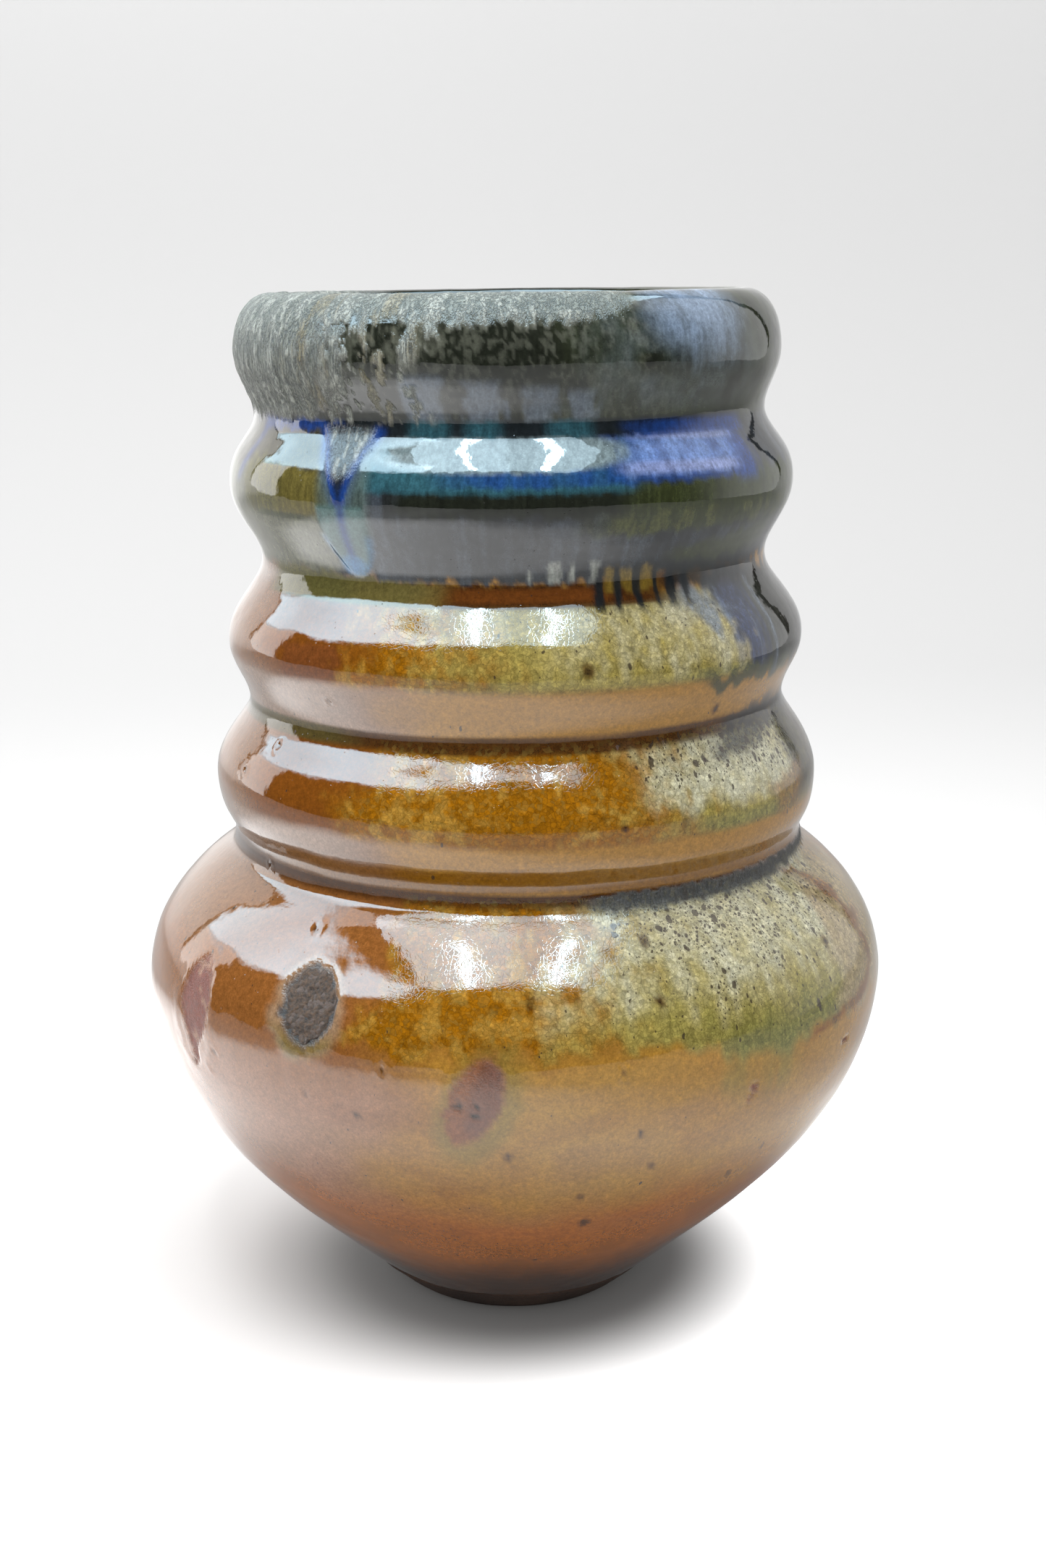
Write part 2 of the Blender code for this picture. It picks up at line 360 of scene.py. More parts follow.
TOAST = (0.56, 0.170, 0.016)
UMBER = (0.085, 0.028, 0.006)
RED_BROWN = (0.25, 0.075, 0.012)
GOLD = (0.30, 0.20, 0.03)
SKY_BLUE = (0.30, 0.41, 0.58)
PALE_TEAL = (0.13, 0.19, 0.17)
SEA_GREEN = (0.15, 0.26, 0.25)
BRIGHT_BLUE = (0.10, 0.32, 0.62)
EDGE_BLUE = (0.12, 0.30, 0.52)
BEIGE = (0.52, 0.40, 0.22)
DRY_ASH = (0.085, 0.088, 0.090)
MAUVE_BROWN = (0.50, 0.35, 0.26)
BARE_BROWN = (0.25, 0.078, 0.018)
TOASTED_EDGE = (0.34, 0.155, 0.030)
PALE_BLUE = (0.36, 0.42, 0.72)
PALEST_BLUE = (0.40, 0.46, 0.74)
MUSTARD = (0.21, 0.165, 0.035)
SCAR_RING = (0.60, 0.45, 0.30)
SCORCHED = (0.05, 0.038, 0.033)
RED_CLAY = (0.28, 0.042, 0.005)
PINK_GRIT = (0.55, 0.28, 0.16)
SCAR_GLOW = (0.30, 0.235, 0.055)
ROSE_BROWN = (0.33, 0.115, 0.055)
VIOLET_BROWN = (0.22, 0.10, 0.075)
CRACK_BLACK = (0.012, 0.009, 0.009)


# Each line below lays one patch of colour. A band or ramp says where: over which angles in degrees or
# heights in millimetres, and how soft its edges are. side, edge and ragged are an angle or a height
# with noise added, so that an edge wanders.


def paint_bowl(glaze):
    """The ash-covered shoulder, the amber belt and the toasted lower bowl."""
    angle, level = glaze.place
    lay = glaze.lay
    wander = glaze.noise(30, 24, 100)
    fine = glaze.noise(3.0, 4.0, 110)
    runs = glaze.noise(3.5, 60, 120, 2)
    side = angle + 6 * wander
    edge = level + 2.4 * runs + 1.4 * fine

    lay(CHESTNUT, np.ones(edge.shape))
    lay(PEACH, ramp(-46, -58, side) * ramp(118, 128, edge) * ramp(-150, -120, side))
    lay(LILAC_BROWN, 0.8 * ramp(104, 90, edge) * leftward(side, -8, -26))
    lay(TAN, ramp(113, 104, edge) * ramp(-30, -6, side) * ramp(135, 90, side))
    lay(HONEY, 0.5 * ramp(112, 100, edge) * band(side, 0, 60, 12) * unit(0.5 + wander))
    lay(TOAST, ramp(72, 48, level + 5 * wander))
    lay(UMBER, ramp(40, 14, level + 3 * wander))
    smoke = glaze.noise(14, 10, 130, 3)
    lay(RUST, 0.30 * unit(smoke) * ramp(104, 90, level))
    lay(PEACH, 0.35 * unit(-smoke) * ramp(104, 90, level) * ramp(40, 60, level))

    left_edge = -22 - 3 * ramp(124, 112, level)
    amber = ramp(left_edge - 4, left_edge + 2, side + 2 * fine) * ramp(120, 90, side)
    amber = amber * band(edge, 108.6, 146, 1.4)
    lay(AMBER, amber)
    lay(HONEY, amber * ramp(0.05, 0.75, fine + 0.5 * wander) * 0.7)
    sag = 3.5 * hill(side, 15, 40, 55, 70)
    reach = ramp(4, 26, side + 5 * fine) * ramp(82, 66, side)
    ash = reach * ramp(107 - 2 * sag, 112 - 2 * sag, edge)
    lay(OLIVE, 0.94 * ash)
    lay(GREEN_ASH, 0.8 * ash * ramp(120, 106, edge) * ramp(22, 36, side))
    pale = reach * ramp(112, 126, edge) * unit(0.74 + 0.26 * fine + 0.15 * runs)
    lay(PALE_ASH, 0.9 * pale)
    tail = band(side, 32, 48, 5) * band(level, 90, 108, 5) * unit(0.5 + runs)
    lay(GREEN_ASH, 0.55 * tail)
    glaze.crackle = unit(amber * 0.9 + ash)
    beige = ramp(57, 61, side) * band(edge, 104, 139, 3) * ramp(92, 86, side)
    lay(BEIGE, 0.9 * beige)
    toward = 59.0 + 13.0 * np.sqrt(unit(1 - ((level - 121) / 19) ** 2))
    brown_ring = bell(angle + 1.4 * fine + 1.2 * wander - toward, 1.9) * band(level, 103, 141, 2)
    foot_line = band(angle, 47, 66, 3) * bell(level + 0.8 * fine - 101.5 - 0.28 * (angle - 47), 1.4)
    lay(RUST, 0.9 * unit(brown_ring + foot_line))
    dense = hill(side, 12, 26, 44, 62) * ramp(110, 130, edge)
    clumps = np.clip(0.6 + 0.8 * runs + 0.7 * glaze.noise(7, 9, 140), 0, 1.6)
    glaze.specks += ash * (0.06 + 0.95 * dense * clumps) + 0.006
    glaze.specks += 0.45 * oval(glaze.place, (48, 136, 26, 8), 0.5)
    glaze.streaks += 0.35 * ash


def paint_seam(glaze):
    """The brown band over the crease, the glaze's brown darkened by painted shade under the lowest rib and
    in the crease, and the dry grey ash caught in it on the right.
    """
    angle, level = glaze.place
    lay = glaze.lay
    wander = glaze.noise(26, 12, 200)
    fine = glaze.noise(2.4, 2.4, 210)
    # Painted shade over the glaze's own brown: a darker band on the underside of the lowest rib, darkest in
    # the crease below it.
    under = band(level + wander, 145.0, 151.6, 0.5)
    lay(DEEP_BROWN, 0.55 * under)
    lay(AMBER, 0.45 * under * rightward(angle, -60, -40))
    lay(DEEP_BROWN, band(level, 141.8, 145.0, 0.6))
    caught = ramp(8, 16, angle + 4 * wander) * ramp(100, 84, angle)
    lower = 141.4 - 0.9 * np.abs(fine) - 1.2 * band(angle, 14, 60, 10)
    ash = caught * ramp(lower - 0.7, lower + 0.7, level) * ramp(144.8, 143.8, level + 0.4 * fine)
    lay(DRY_ASH, 0.95 * ash)
    glaze.at_least("crust", 0.5 * ash)
    glaze.at_least("dry", 0.7 * ash)
    glaze.relief += ash * (0.10 + 0.14 * fine)


def paint_lower_ribs(glaze):
    """The two amber ribs, brown on the left and crackled olive on the right."""
    angle, level = glaze.place
    lay = glaze.lay
    zone = ramp(142.5, 144.5, level)
    wander = glaze.noise(26, 16, 300)
    fine = glaze.noise(2.8, 3.6, 310)
    runs = glaze.noise(3, 70, 320, 2)
    side = angle + 5 * wander
    lay(RUST, zone)
    lay(PEACH, zone * 0.75 * leftward(side, -50, -64))
    belts = np.maximum(band(level, 159, 184, 1.5), band(level, 199, 222, 1.5))
    low = zone * (1 - belts)
    lay(TAN, low * hill(side, -30, -10, 92, 120))
    lay(MAUVE_BROWN, 0.8 * low * leftward(side, -10, -34))
    amber = belts * ramp(-38, -24, side + 2 * fine) * ramp(120, 92, side)
    lay(AMBER, amber)
    lay(HONEY, amber * ramp(0.0, 0.7, fine + 0.5 * wander) * 0.75)

    shift = np.where(level > 185, -26.0, 12.0)
    olive = belts * ramp(shift, shift + 26, side + 5 * fine) * ramp(84, 62, side)
    lay(OLIVE, 0.9 * olive)
    crest = np.maximum(band(level, 163, 184, 2), band(level, 202, 222, 2))
    lay(GREEN_ASH, 0.6 * olive * ramp(22, 36, side) * (1 - crest))
    pale_high = unit(0.5 + 0.28 * fine + 0.15 * runs) * ramp(-6, 24, side)
    pale_high = pale_high * band(level + 2 * runs, 203, 222, 3)
    pale_low = unit(0.88 + 0.25 * fine) * band(level + 2 * runs, 166, 185, 2.5) * ramp(17, 26, side)
    lay(PALE_ASH, 0.92 * olive * np.maximum(0.8 * pale_high, pale_low))
    glaze.crackle = np.where(zone > 0.5, unit(0.9 * amber + olive), glaze.crackle)
    peppered = olive * band(level + 1.5 * fine, 173, 186, 2) * ramp(18, 26, side)
    glaze.specks = np.where(zone > 0.5, 0.004 + 0.02 * olive + 0.75 * peppered, glaze.specks)
    groove = band(level + 0.3 * wander, 181.8, 186.2, 0.6)
    lay(DEEP_BROWN, 0.95 * groove)
    lay(KHAKI, 0.6 * groove * leftward(side, -30, -44))
    bare = band(angle + 1.2 * fine, -49, -34, 1.2) * band(level + 0.6 * fine, 199.5, 209, 0.8)
    lay(BARE_BROWN, 0.9 * bare)

    shadow = ramp(43, 49, side + 3 * fine) * ramp(125, 100, side)
    dark_high = shadow * band(level + 3 * runs, 197, 226, 1.6)
    lay(BLUE_BLACK, 0.95 * dark_high)
    glaze.crackle = glaze.crackle * (1 - dark_high)
    lay(COBALT, 0.30 * band(angle + 2 * runs, 46, 55, 2) * band(level, 200, 222, 4))
    lay(MOSS, 0.9 * band(side, 34, 66, 3) * band(level + 2 * runs, 195, 199.5, 1.0))
    cloud = band(side, 31, 47, 4) * band(level + 3 * runs, 213, 224, 2)
    lay(BLUE_GREY, 0.8 * cloud)
    pale_runs = ramp(0.1, 0.6, runs) * band(side, 44, 64, 3)
    lay(BLUE_GREY, 0.5 * dark_high * pale_runs)
    dark_low = hill(side, 63, 68, 95, 120) * band(level, 160, 187, 3)
    lay(BLUE_BLACK, 0.85 * dark_low)
    toasted = band(side, 55, 70, 3) * band(level + fine, 158.5, 168 + 0.25 * (angle - 56), 2)
    lay(TOASTED_EDGE, 0.75 * toasted)
    lay(SLATE, 0.85 * band(side, 42, 66, 4) * band(level - 0.16 * (angle - 48) + fine, 177, 186, 1.5))
    glaze.streaks = np.where(zone > 0.5, np.maximum(0.3 * olive, dark_high), glaze.streaks)


def paint_cobalt_rib(glaze):
    """The dark glaze poured over the second rib, with its opal top, partly a painted highlight, and blue
    runs.
    """
    angle, level = glaze.place
    lay = glaze.lay
    wander = glaze.noise(24, 14, 400)
    fine = glaze.noise(2.6, 4, 410)
    runs = glaze.noise(2.6, 90, 420, 2)
    side = angle + 3 * wander
    ragged = level + 1.2 * runs + 0.6 * fine
    zone = ramp(224.6, 226.4, ragged - 1.8 * leftward(angle, -10, -50) - 1.6 * rightward(angle, 20, 34))
    lay(SLATE, zone)
    lay(BLUE_GREY, zone * np.clip(0.06 + 0.16 * runs + 0.06 * fine, 0, 0.3))

    green = ramp(12, 26, side) * band(ragged, 238.5, 253.0, 1.2) * ramp(130, 100, side)
    lay(MOSS, 0.95 * green)
    lay(GREEN_ASH, 0.22 * green * ramp(0.1, 0.6, fine) * band(level, 238, 244.5, 1.0))
    lay(BLACK_GREEN, band(side, -22, 24, 5) * band(level + fine, 243.5, 252.0, 1.2))
    lay(MOSS, 0.9 * band(side, 34, 64, 4) * band(ragged - 0.18 * (angle - 40), 226, 234, 1.5))
    lay(BLUE_BLACK, 0.9 * band(side, 30, 66, 3) * band(ragged, 222.5, 229.5, 1.0))

    teal = band(side, -34, 24, 5) * band(level + 0.5 * fine, 250.0, 262, 1.0)
    lay(TEAL, teal)
    blue = hill(side, -16, -2, 54, 60) * band(level + 0.5 * fine, 251.6, 266, 0.9)
    lay(COBALT, 0.72 * blue)
    lay(TEAL, 0.35 * blue * unit(runs + 0.2) * ramp(30, 20, side))
    pale_blue = hill(side, 19, 28, 50, 57) * band(level + 0.6 * fine, 253.6, 264.5, 1.2)
    lay(PERIWINKLE, pale_blue * unit(0.78 + 0.35 * runs + 0.25 * fine))
    lay(PALE_BLUE, 0.7 * pale_blue * band(level + 0.03 * (angle - 35), 253.8, 256.8, 0.9))
    lay(PALEST_BLUE, 0.7 * pale_blue * band(level + 0.05 * (angle - 35), 262.4, 264.6, 0.7))
    lay(COBALT, 0.6 * band(angle + 1.5 * runs, 49, 56, 2.0) * band(level, 250.5, 262, 2))
    # The opal band is partly the glaze's pale colour and partly a painted highlight, laid where the lamps'
    # highlight falls round the front.
    opal = band(angle + 2 * fine, -27, 24, 3) * band(level + 0.5 * fine, 255.2, 264.8, 0.8)
    pinch = ramp(1.05, 0.8, np.hypot((angle + 2) / 28, (level - 260.0) / 6.0))
    lay(OPAL_AND_PAINTED_HIGHLIGHT, 0.95 * opal * pinch)

    far_left = ramp(-36, -41, side) * ramp(-130, -95, angle)
    lay(CREAM, far_left * band(ragged, 227, 258, 1.5))
    lay(CELADON, far_left * band(ragged, 255, 266.5, 1.2))
    khaki_top = 256.0 + 1.5 * fine - 0.12 * (angle + 50)
    khaki = far_left * ramp(242.2, 243.2, level + 0.4 * fine) * ramp(khaki_top + 1, khaki_top - 1, level)
    lay(KHAKI, 0.95 * khaki * ramp(-66, -60, angle + 2 * fine))
    lay(MUSTARD, 0.6 * khaki * band(angle, -50, -38, 3))
    lay(MOSS, 0.8 * far_left * band(level + 0.3 * fine, 241.4, 243.2, 0.5) * band(angle, -58, -41, 3))

    hem_top = 225.6 + 1.9 * leftward(angle, -10, -50) + 1.6 * rightward(angle, 20, 34)
    hem = ramp(219.2, 220.4, level) * ramp(hem_top + 0.6, hem_top - 0.6, level + 0.8 * fine)
    lay(KHAKI, hem * hill(side, -70, -60, -26, -8))
    lay(OCHRE, 0.35 * hem * band(side, -34, -10, 5))
    lay(DEEP_BROWN, hem * band(side, -18, 32, 5))
    lay(RED_BROWN, 0.7 * hem * band(side, -16, 20, 4) * band(level, 221.4, 224.6, 0.7))
    lay(GOLD, 0.8 * band(angle, 19, 31, 1.0) * band(level + fine, 223.2, 229, 0.8))
    for place, width in ((17.8, 1.0), (21.8, 0.7), (26.4, 0.9), (30.8, 0.7), (34.5, 1.2), (38.4, 0.9)):
        run = band(angle + 0.4 * fine, place - width, place + width, 0.3) * band(level, 218.4, 230, 1.0)
        lay(BLUE_BLACK, 0.95 * run)
    frill = band(angle, 1, 18, 2) * band(level, 225.8, 231.5, 0.8) * ramp(0.15, 0.5, runs + 0.3 * fine)
    lay(ASH_WHITE, 0.5 * frill)
    glaze.crackle = glaze.crackle * (1 - zone) * (1 - hem)
    glaze.specks = glaze.specks * (1 - zone)
    glaze.streaks = np.where(zone > 0.5, 0.55, glaze.streaks)


def paint_rim(glaze):
    """The black-green lip, crusted with dry ash on the left and blue-grey on the right; the ash along its
    top is partly a painted highlight.
    """
    angle, level = glaze.place
    lay = glaze.lay
    wander = glaze.noise(24, 14, 500)
    fine = glaze.noise(2.0, 3.2, 510)
    runs = glaze.noise(2.4, 60, 520, 3)
    side = angle + 4 * wander
    zone = ramp(265.5, 267.5, level + 0.8 * runs)
    lay(BLACK_GREEN, zone)
    cloud = glaze.noise(7, 6, 550)
    grains = glaze.noise(1.1, 1.5, 560, 2)
    lay(MOSS, zone * np.clip(0.5 + 0.2 * runs + 0.3 * cloud, 0, 0.9) * rightward(side, 2, 16))
    speckle = ramp(-0.1, 0.7, grains + 0.4 * fine) * band(side, -34, 34, 8)
    lay(ASH_GREY, zone * speckle * (0.20 + 0.20 * ramp(276, 292, level)))
    veil = band(side, -38, -12, 5) * band(level, 277, 292, 4) * ramp(-0.5, 0.6, cloud + 0.8 * grains)
    lay(ASH_GREY, 0.34 * veil)
    sky = band(side, 33, 50, 7) * ramp(276, 292, level + 1.5 * runs)
    lay(SKY_BLUE, 0.95 * sky * unit(0.75 + 0.12 * runs + 0.3 * cloud + 0.15 * grains))
    lay(BLUE_GREY, 0.35 * band(side, 14, 60, 8) * band(level, 270, 296, 4) * unit(0.3 + 0.4 * cloud))
    for place, half, top in ((-16.5, 4.0, 279), (-4.5, 3.6, 277.5), (6.5, 3.0, 276), (15, 2.6, 275)):
        blob = band(angle + 1.2 * fine, place - half, place + half, 1.2) * band(level, 266.5, top, 1.8)
        lay(BLUE_GREY, 0.55 * blob)

    groove = band(level + 0.4 * fine, 263.6, 267.8, 0.6)
    lay(BLUE_BLACK, groove * hill(side, -38, -30, 46, 62))
    for place, half in ((-16, 4.0), (-5, 3.4), (12.5, 4.4)):
        lay(TEAL, 0.8 * groove * band(angle, place - half, place + half, 2.0))
    lay(COBALT, 0.75 * band(level, 263.0, 266.8, 0.7) * band(side, 26, 56, 3))
    lay(COBALT, 0.85 * band(level + 0.8 * fine, 264.6, 267.4, 0.6) * band(side, -66, -36, 3))

    left_half = ramp(-150, -120, angle)
    crust = ramp(-37, -45, side + 3 * fine) * left_half
    # Ash crust along the top of the lip, from the left round to the front: partly the ash and partly a
    # painted highlight where the lamps reflect.
    upper = ramp(30, 14, side) * ramp(291.5, 295.5, level + 1.6 * fine) * left_half
    flecks = 0.6 * runs + 0.6 * fine + 0.4 * grains
    outcrops = (
        0.85 * upper,
        0.85 * ramp(0.12, 0.45, flecks) * band(side, -41, -29, 3),
        0.55 * ramp(0.32, 0.6, flecks - 0.1 * runs) * band(side, -30, -14, 2),
        0.9 * band(angle + fine, -36.4, -33.0, 0.7) * band(level, 275, 291, 3),
        0.9 * band(angle + fine, -19.8, -16.8, 0.7) * band(level, 283, 295, 3),
    )
    for outcrop in outcrops:
        crust = np.maximum(crust, outcrop)
    crust *= ramp(266.5, 269.5, level + 1.5 * runs)
    lay(ASH_GREY, crust)
    lay(ASH_WHITE, 0.65 * crust * ramp(-0.1, 0.6, fine + 0.5 * runs))
    lay(OCHRE, 0.8 * crust * ramp(0.2, 0.5, glaze.noise(5, 22, 540)) * band(side, -50, -16, 5))
    glaze.at_least("crust", crust)
    glaze.at_least("dry", 0.45 * crust)
    glaze.streaks = np.where(zone > 0.5, 0.35, glaze.streaks)
    glaze.relief += crust * (0.10 + 0.13 * fine + 0.10 * runs)


def paint_drip(glaze):
    """The thick blue drip that hangs over the second rib on the left, and the streak beside it."""
    angle, level = glaze.place
    lay = glaze.lay
    fine = glaze.noise(2.2, 6, 600)
    centre = -33.2 + 0.03 * (245 - level)
    fall = unit((level - 243) / 22)
    width = 0.7 + 6.3 * fall**1.4
    across = (angle - centre) / width
    inside = ramp(1.15, 0.85, np.abs(across)) * band(level, 243, 266.5, 1.2)
    lay(BLUE_BLACK, inside)
    scratches = ramp(0.25, 0.6, glaze.noise(1.1, 4, 610)) * band(level, 254, 265, 2)
    lay(ASH_WHITE, 0.60 * inside * scratches)
    rim = bell((np.abs(across) - 1) * width, 1.3) * band(level, 241, 266, 1.5)
    lay(COBALT, unit(1.3 * rim))

    apron = band(angle, -38.5, -27.0, 1.5) * band(level, 238, 262, 2) * (1 - inside)
    lay(PALE_TEAL, 0.75 * apron)
    tongue_half = 5.6 * np.sqrt(unit(1 - (np.minimum(level - 243, 0) / 16) ** 2))
    tongue_across = np.abs(angle + 33.4) / np.maximum(tongue_half, 0.01)
    tongue = ramp(1.1, 0.85, tongue_across) * band(level, 227, 246, 0.8)
    lay(SEA_GREEN, 0.95 * tongue)
    vein = bell(angle - (-33.0 - 0.06 * (243 - level)), 1.0) * band(level, 228, 246, 1.5)
    lay(COBALT, 0.85 * vein)
    tip = oval(glaze.place, (-34.0, 229.8, 3.2, 2.8), 0.35)
    lay(BRIGHT_BLUE, 0.8 * tip)
    edge = bell((tongue_across - 1) * 5, 0.9) * band(level, 227, 238, 1.0)
    lay(EDGE_BLUE, 0.6 * edge)
    streak_at = -63.0 - 0.28 * (268 - level)
    streak = bell(angle - streak_at, 1.5) * band(level, 250, 267, 2.0)
    lay(COBALT, 0.7 * streak)
    glaze.relief += 0.32 * np.maximum(inside * 0.6, tongue) + 0.05 * fine * inside
    glaze.streaks = glaze.streaks * (1 - 0.7 * np.maximum(tongue, inside))
    rough = inside * ramp(250, 255, level)
    glaze.at_least("crust", 0.25 * rough)
    glaze.at_least("dry", 0.16 * rough)


# Scars: the angle, the height, the half angle and half height of the bare patch, and its lean.
WAD_SCAR = (-30.8, 117.0, 4.5, 10.2)
LEFT_SCAR = (-54.0, 104.8, 4.2, 15.4)
FRONT_SCAR = (-5.2, 96.8, 3.7, 12.4, 0.14)


def paint_scars(glaze):
    """Bare ovals where wads and shells held the pot in the kiln, each with a glassy halo."""
    lay = glaze.lay
    fine = glaze.noise(1.8, 1.8, 700)
    crumbs = glaze.noise(3.0, 3.0, 710)
    place = (glaze.place[0] + 0.5 * crumbs, glaze.place[1] + 0.9 * crumbs)
    for spot in (WAD_SCAR, LEFT_SCAR, FRONT_SCAR):
        wide = (spot[0], spot[1] - 1.0, spot[2] * 1.5, spot[3] * 1.25, *spot[4:])
        halo = oval(place, wide, 0.22) * (1 - oval(place, spot, 0.08))
        glaze.relief += 0.22 * halo
        glaze.specks *= 1 - oval(place, wide, 0.2)
        glaze.crackle *= 1 - 0.8 * oval(place, wide, 0.2)
    ring = oval(place, (WAD_SCAR[0], WAD_SCAR[1] - 1, 6.2, 12.6), 0.15) * (1 - oval(place, WAD_SCAR, 0.1))
    lay(SCAR_RING, 0.55 * ring)
    lay(OCHRE, 0.85 * ring * ramp(114, 106, glaze.place[1]))
    hollow = oval(place, WAD_SCAR, 0.10)
    lay(SCORCHED, hollow)
    taper = np.clip((glaze.place[1] - 88) / 20, 0.25, 1)
    bare_place = (LEFT_SCAR[0] + (place[0] - LEFT_SCAR[0]) / taper, place[1])
    bare = oval(bare_place, LEFT_SCAR, 0.10)
    lay(RED_CLAY, bare)
    lay(PINK_GRIT, 0.9 * bare * ramp(0.45, 0.65, glaze.noise(2.2, 2.2, 720)))
    glow = oval(place, (-4.6, 95.0, 5.8, 17.5, 0.14), 0.2)
    lay(SCAR_GLOW, 0.55 * glow * (1 - oval(place, FRONT_SCAR, 0.1)))
    mark = oval(place, FRONT_SCAR, 0.12)
    lay(ROSE_BROWN, 0.9 * mark)
    violet = oval(place, (-3.4, 98.0, 2.6, 11.5, 0.14), 0.3) * mark
    lay(VIOLET_BROWN, 0.7 * violet)
    crack = ramp(0.62, 0.85, glaze.noise(3.5, 1.6, 730, 2))
    crack = crack * oval(place, (-6.2, 94.5, 2.4, 7.5, 0.14), 0.3)
    lay(CRACK_BLACK, crack)
    glaze.relief -= 0.75 * hollow + 0.5 * bare + 0.12 * mark + 0.45 * crack
    glaze.relief += fine * (0.14 * bare + 0.05 * mark)
    glaze.at_least("dry", np.maximum(hollow, 0.85 * bare))
    glaze.at_least("dry", 0.25 * mark)


# Pits and iron spots: the angle, the height and the radius in millimetres.
PITS = (
    (-37.5, 193.5, 1.0),
    (-35.2, 133.8, 1.4),
    (-53.0, 178.3, 1.3),
    (-60.2, 169.6, 1.2),
    (-55.0, 143.0, 1.2),
    (-18.0, 104.5, 1.5),
    (-30.0, 93.5, 1.3),
    (-48.0, 97.2, 0.9),
    (-50.0, 91.0, 0.8),
    (15.0, 103.5, 1.0),
)
IRON_SPOTS = (
    (13.1, 204.4, 2.3),
    (43.0, 189.0, 1.8),
    (2.0, 122.0, 1.5),
    (-22.0, 90.0, 1.4),
    (-0.6, 80.2, 1.4),
    (20.8, 74.0, 1.4),
    (12.2, 53.2, 1.9),
    (37.5, 62.5, 1.5),
    (10.4, 64.8, 1.3),
    (18.0, 85.5, 1.2),
    (42.4, 69.8, 1.3),
    (19.0, 163.0, 1.5),
    (21.0, 133.8, 1.8),
    (56.6, 123.5, 1.9),
    (21.0, 120.6, 1.6),
)


def from_spot(place, at, height):
    """How far each place is across and above a spot, in millimetres."""
    girth = np.interp(height, *np.array(sorted((z, r) for r, z in RIBS + BELLY)).T)
    return np.radians((place[0] - at + 180) % 360 - 180) * girth, place[1] - height


def paint_spots(glaze):
    """Iron that has bled through, and pits with a raised rim."""
    fine = glaze.noise(2.0, 2.0, 800)
    for at, height, radius in IRON_SPOTS:
        across, up = from_spot(glaze.place, at, height)
        away = np.hypot(across, up * 0.8) + 0.35 * fine
        glaze.lay(DEEP_BROWN, 0.75 * ramp(radius * 1.0, radius * 0.55, away))
        glaze.lay(DARK_IRON, 0.8 * ramp(radius * 0.5, radius * 0.25, away))
    for at, height, radius in PITS:
        away = np.hypot(*from_spot(glaze.place, at, height)) / radius
        glaze.relief += 0.18 * bell(away - 1.2, 0.5) - 0.45 * bell(away, 0.6)
        glaze.lay(DARK_IRON, 0.8 * ramp(0.7, 0.3, away))


# Where a flank is steeper than a plain half wave: the height, the reach and the rise.
RIB_FLANKS = ((174.5, 4.5, 0.22), (183.8, 3.0, -0.28), (153.0, 3.2, 0.22), (146.6, 2.6, -0.28))
# The fine spiral that the potter's fingers left under the glaze.
SPIRAL_PITCH = 2.7
SPIRAL_DEPTH = 0.012


def paint(place):
    """All the glaze on the outside of the pot, from the bottom up."""
    glaze = Glaze(place)
    paint_bowl(glaze)
    paint_lower_ribs(glaze)
    paint_seam(glaze)
    paint_cobalt_rib(glaze)
    paint_rim(glaze)
    paint_drip(glaze)
    paint_scars(glaze)
    paint_spots(glaze)
    angle, level = place
    glaze.relief += 0.10 * glaze.noise(34, 13, 900, 2) + 0.045 * glaze.noise(11, 6, 910, 2)
    for height, reach, rise in RIB_FLANKS:
        glaze.relief += rise * bell(level - height, reach)
    glaze.relief += SPIRAL_DEPTH * np.sin(2 * np.pi * (level / SPIRAL_PITCH + angle / 360))
    glaze.tint *= GLASS_DEPTH
    return glaze


# ---- meshes


def turned_grid(path, columns, lift):
    """Points, in millimetres, of the path turned round Z and lifted off the clay."""
    turn = np.radians(np.arange(columns) * 360 / columns - 180)[None, :]
    away = outward(path)
    lift = np.broadcast_to(lift, (len(path), columns))
    radius = path[:, :1] + away[:, :1] * lift
    height = path[:, 1:] + away[:, 1:] * lift
    return out_of_true(np.stack([radius * np.sin(turn), -radius * np.cos(turn), height], -1))


def grid_normals(points):
    """Unit normals of a turned grid, off the clay. The grid closes on itself round the pot."""
    around = np.roll(points, -1, axis=1) - np.roll(points, 1, axis=1)
    along = np.gradient(points, axis=0)
    normal = np.cross(along, around)
    return normal / np.maximum(np.linalg.norm(normal, axis=-1, keepdims=True), 1e-9)


def grid_quads(index):
    """Quads between neighbouring rows of point numbers that close on themselves across columns."""
    after = np.roll(index, -1, axis=1)
    return np.stack([index[:-1], index[1:], after[1:], after[:-1]], -1).reshape(-1, 4).tolist()


def cap(ring, centre):
    """Triangles from a ring of point numbers to its centre."""
    return [(centre, start, end) for start, end in zip(ring, ring[1:] + ring[:1])]


def new_piece(name, points, faces, material, normals=None, layers=None):
    """A smooth mesh object, from points in millimetres, with its painted layers."""
    mesh = bpy.data.meshes.new(name)
    mesh.from_pydata((points * MM).tolist(), [], faces)
    mesh.update()
    mesh.shade_smooth()
    for layer, values in (layers or {}).items():
        if values.ndim == 2:
            rgba = np.c_[values, np.ones(len(values))].astype(np.float32)
            mesh.attributes.new(layer, "FLOAT_COLOR", "POINT").data.foreach_set("color", rgba.ravel())
        else:
            levels = values.astype(np.float32)
            mesh.attributes.new(layer, "FLOAT", "POINT").data.foreach_set("value", levels)
    if normals is not None:
        mesh.normals_split_custom_set_from_vertices(normals.tolist())
    mesh.materials.append(material)
    piece = bpy.data.objects.new(name, mesh)
    bpy.context.scene.collection.objects.link(piece)
    return piece


LAYERS = ("tint", "crackle", "specks", "crust", "streaks", "dry")


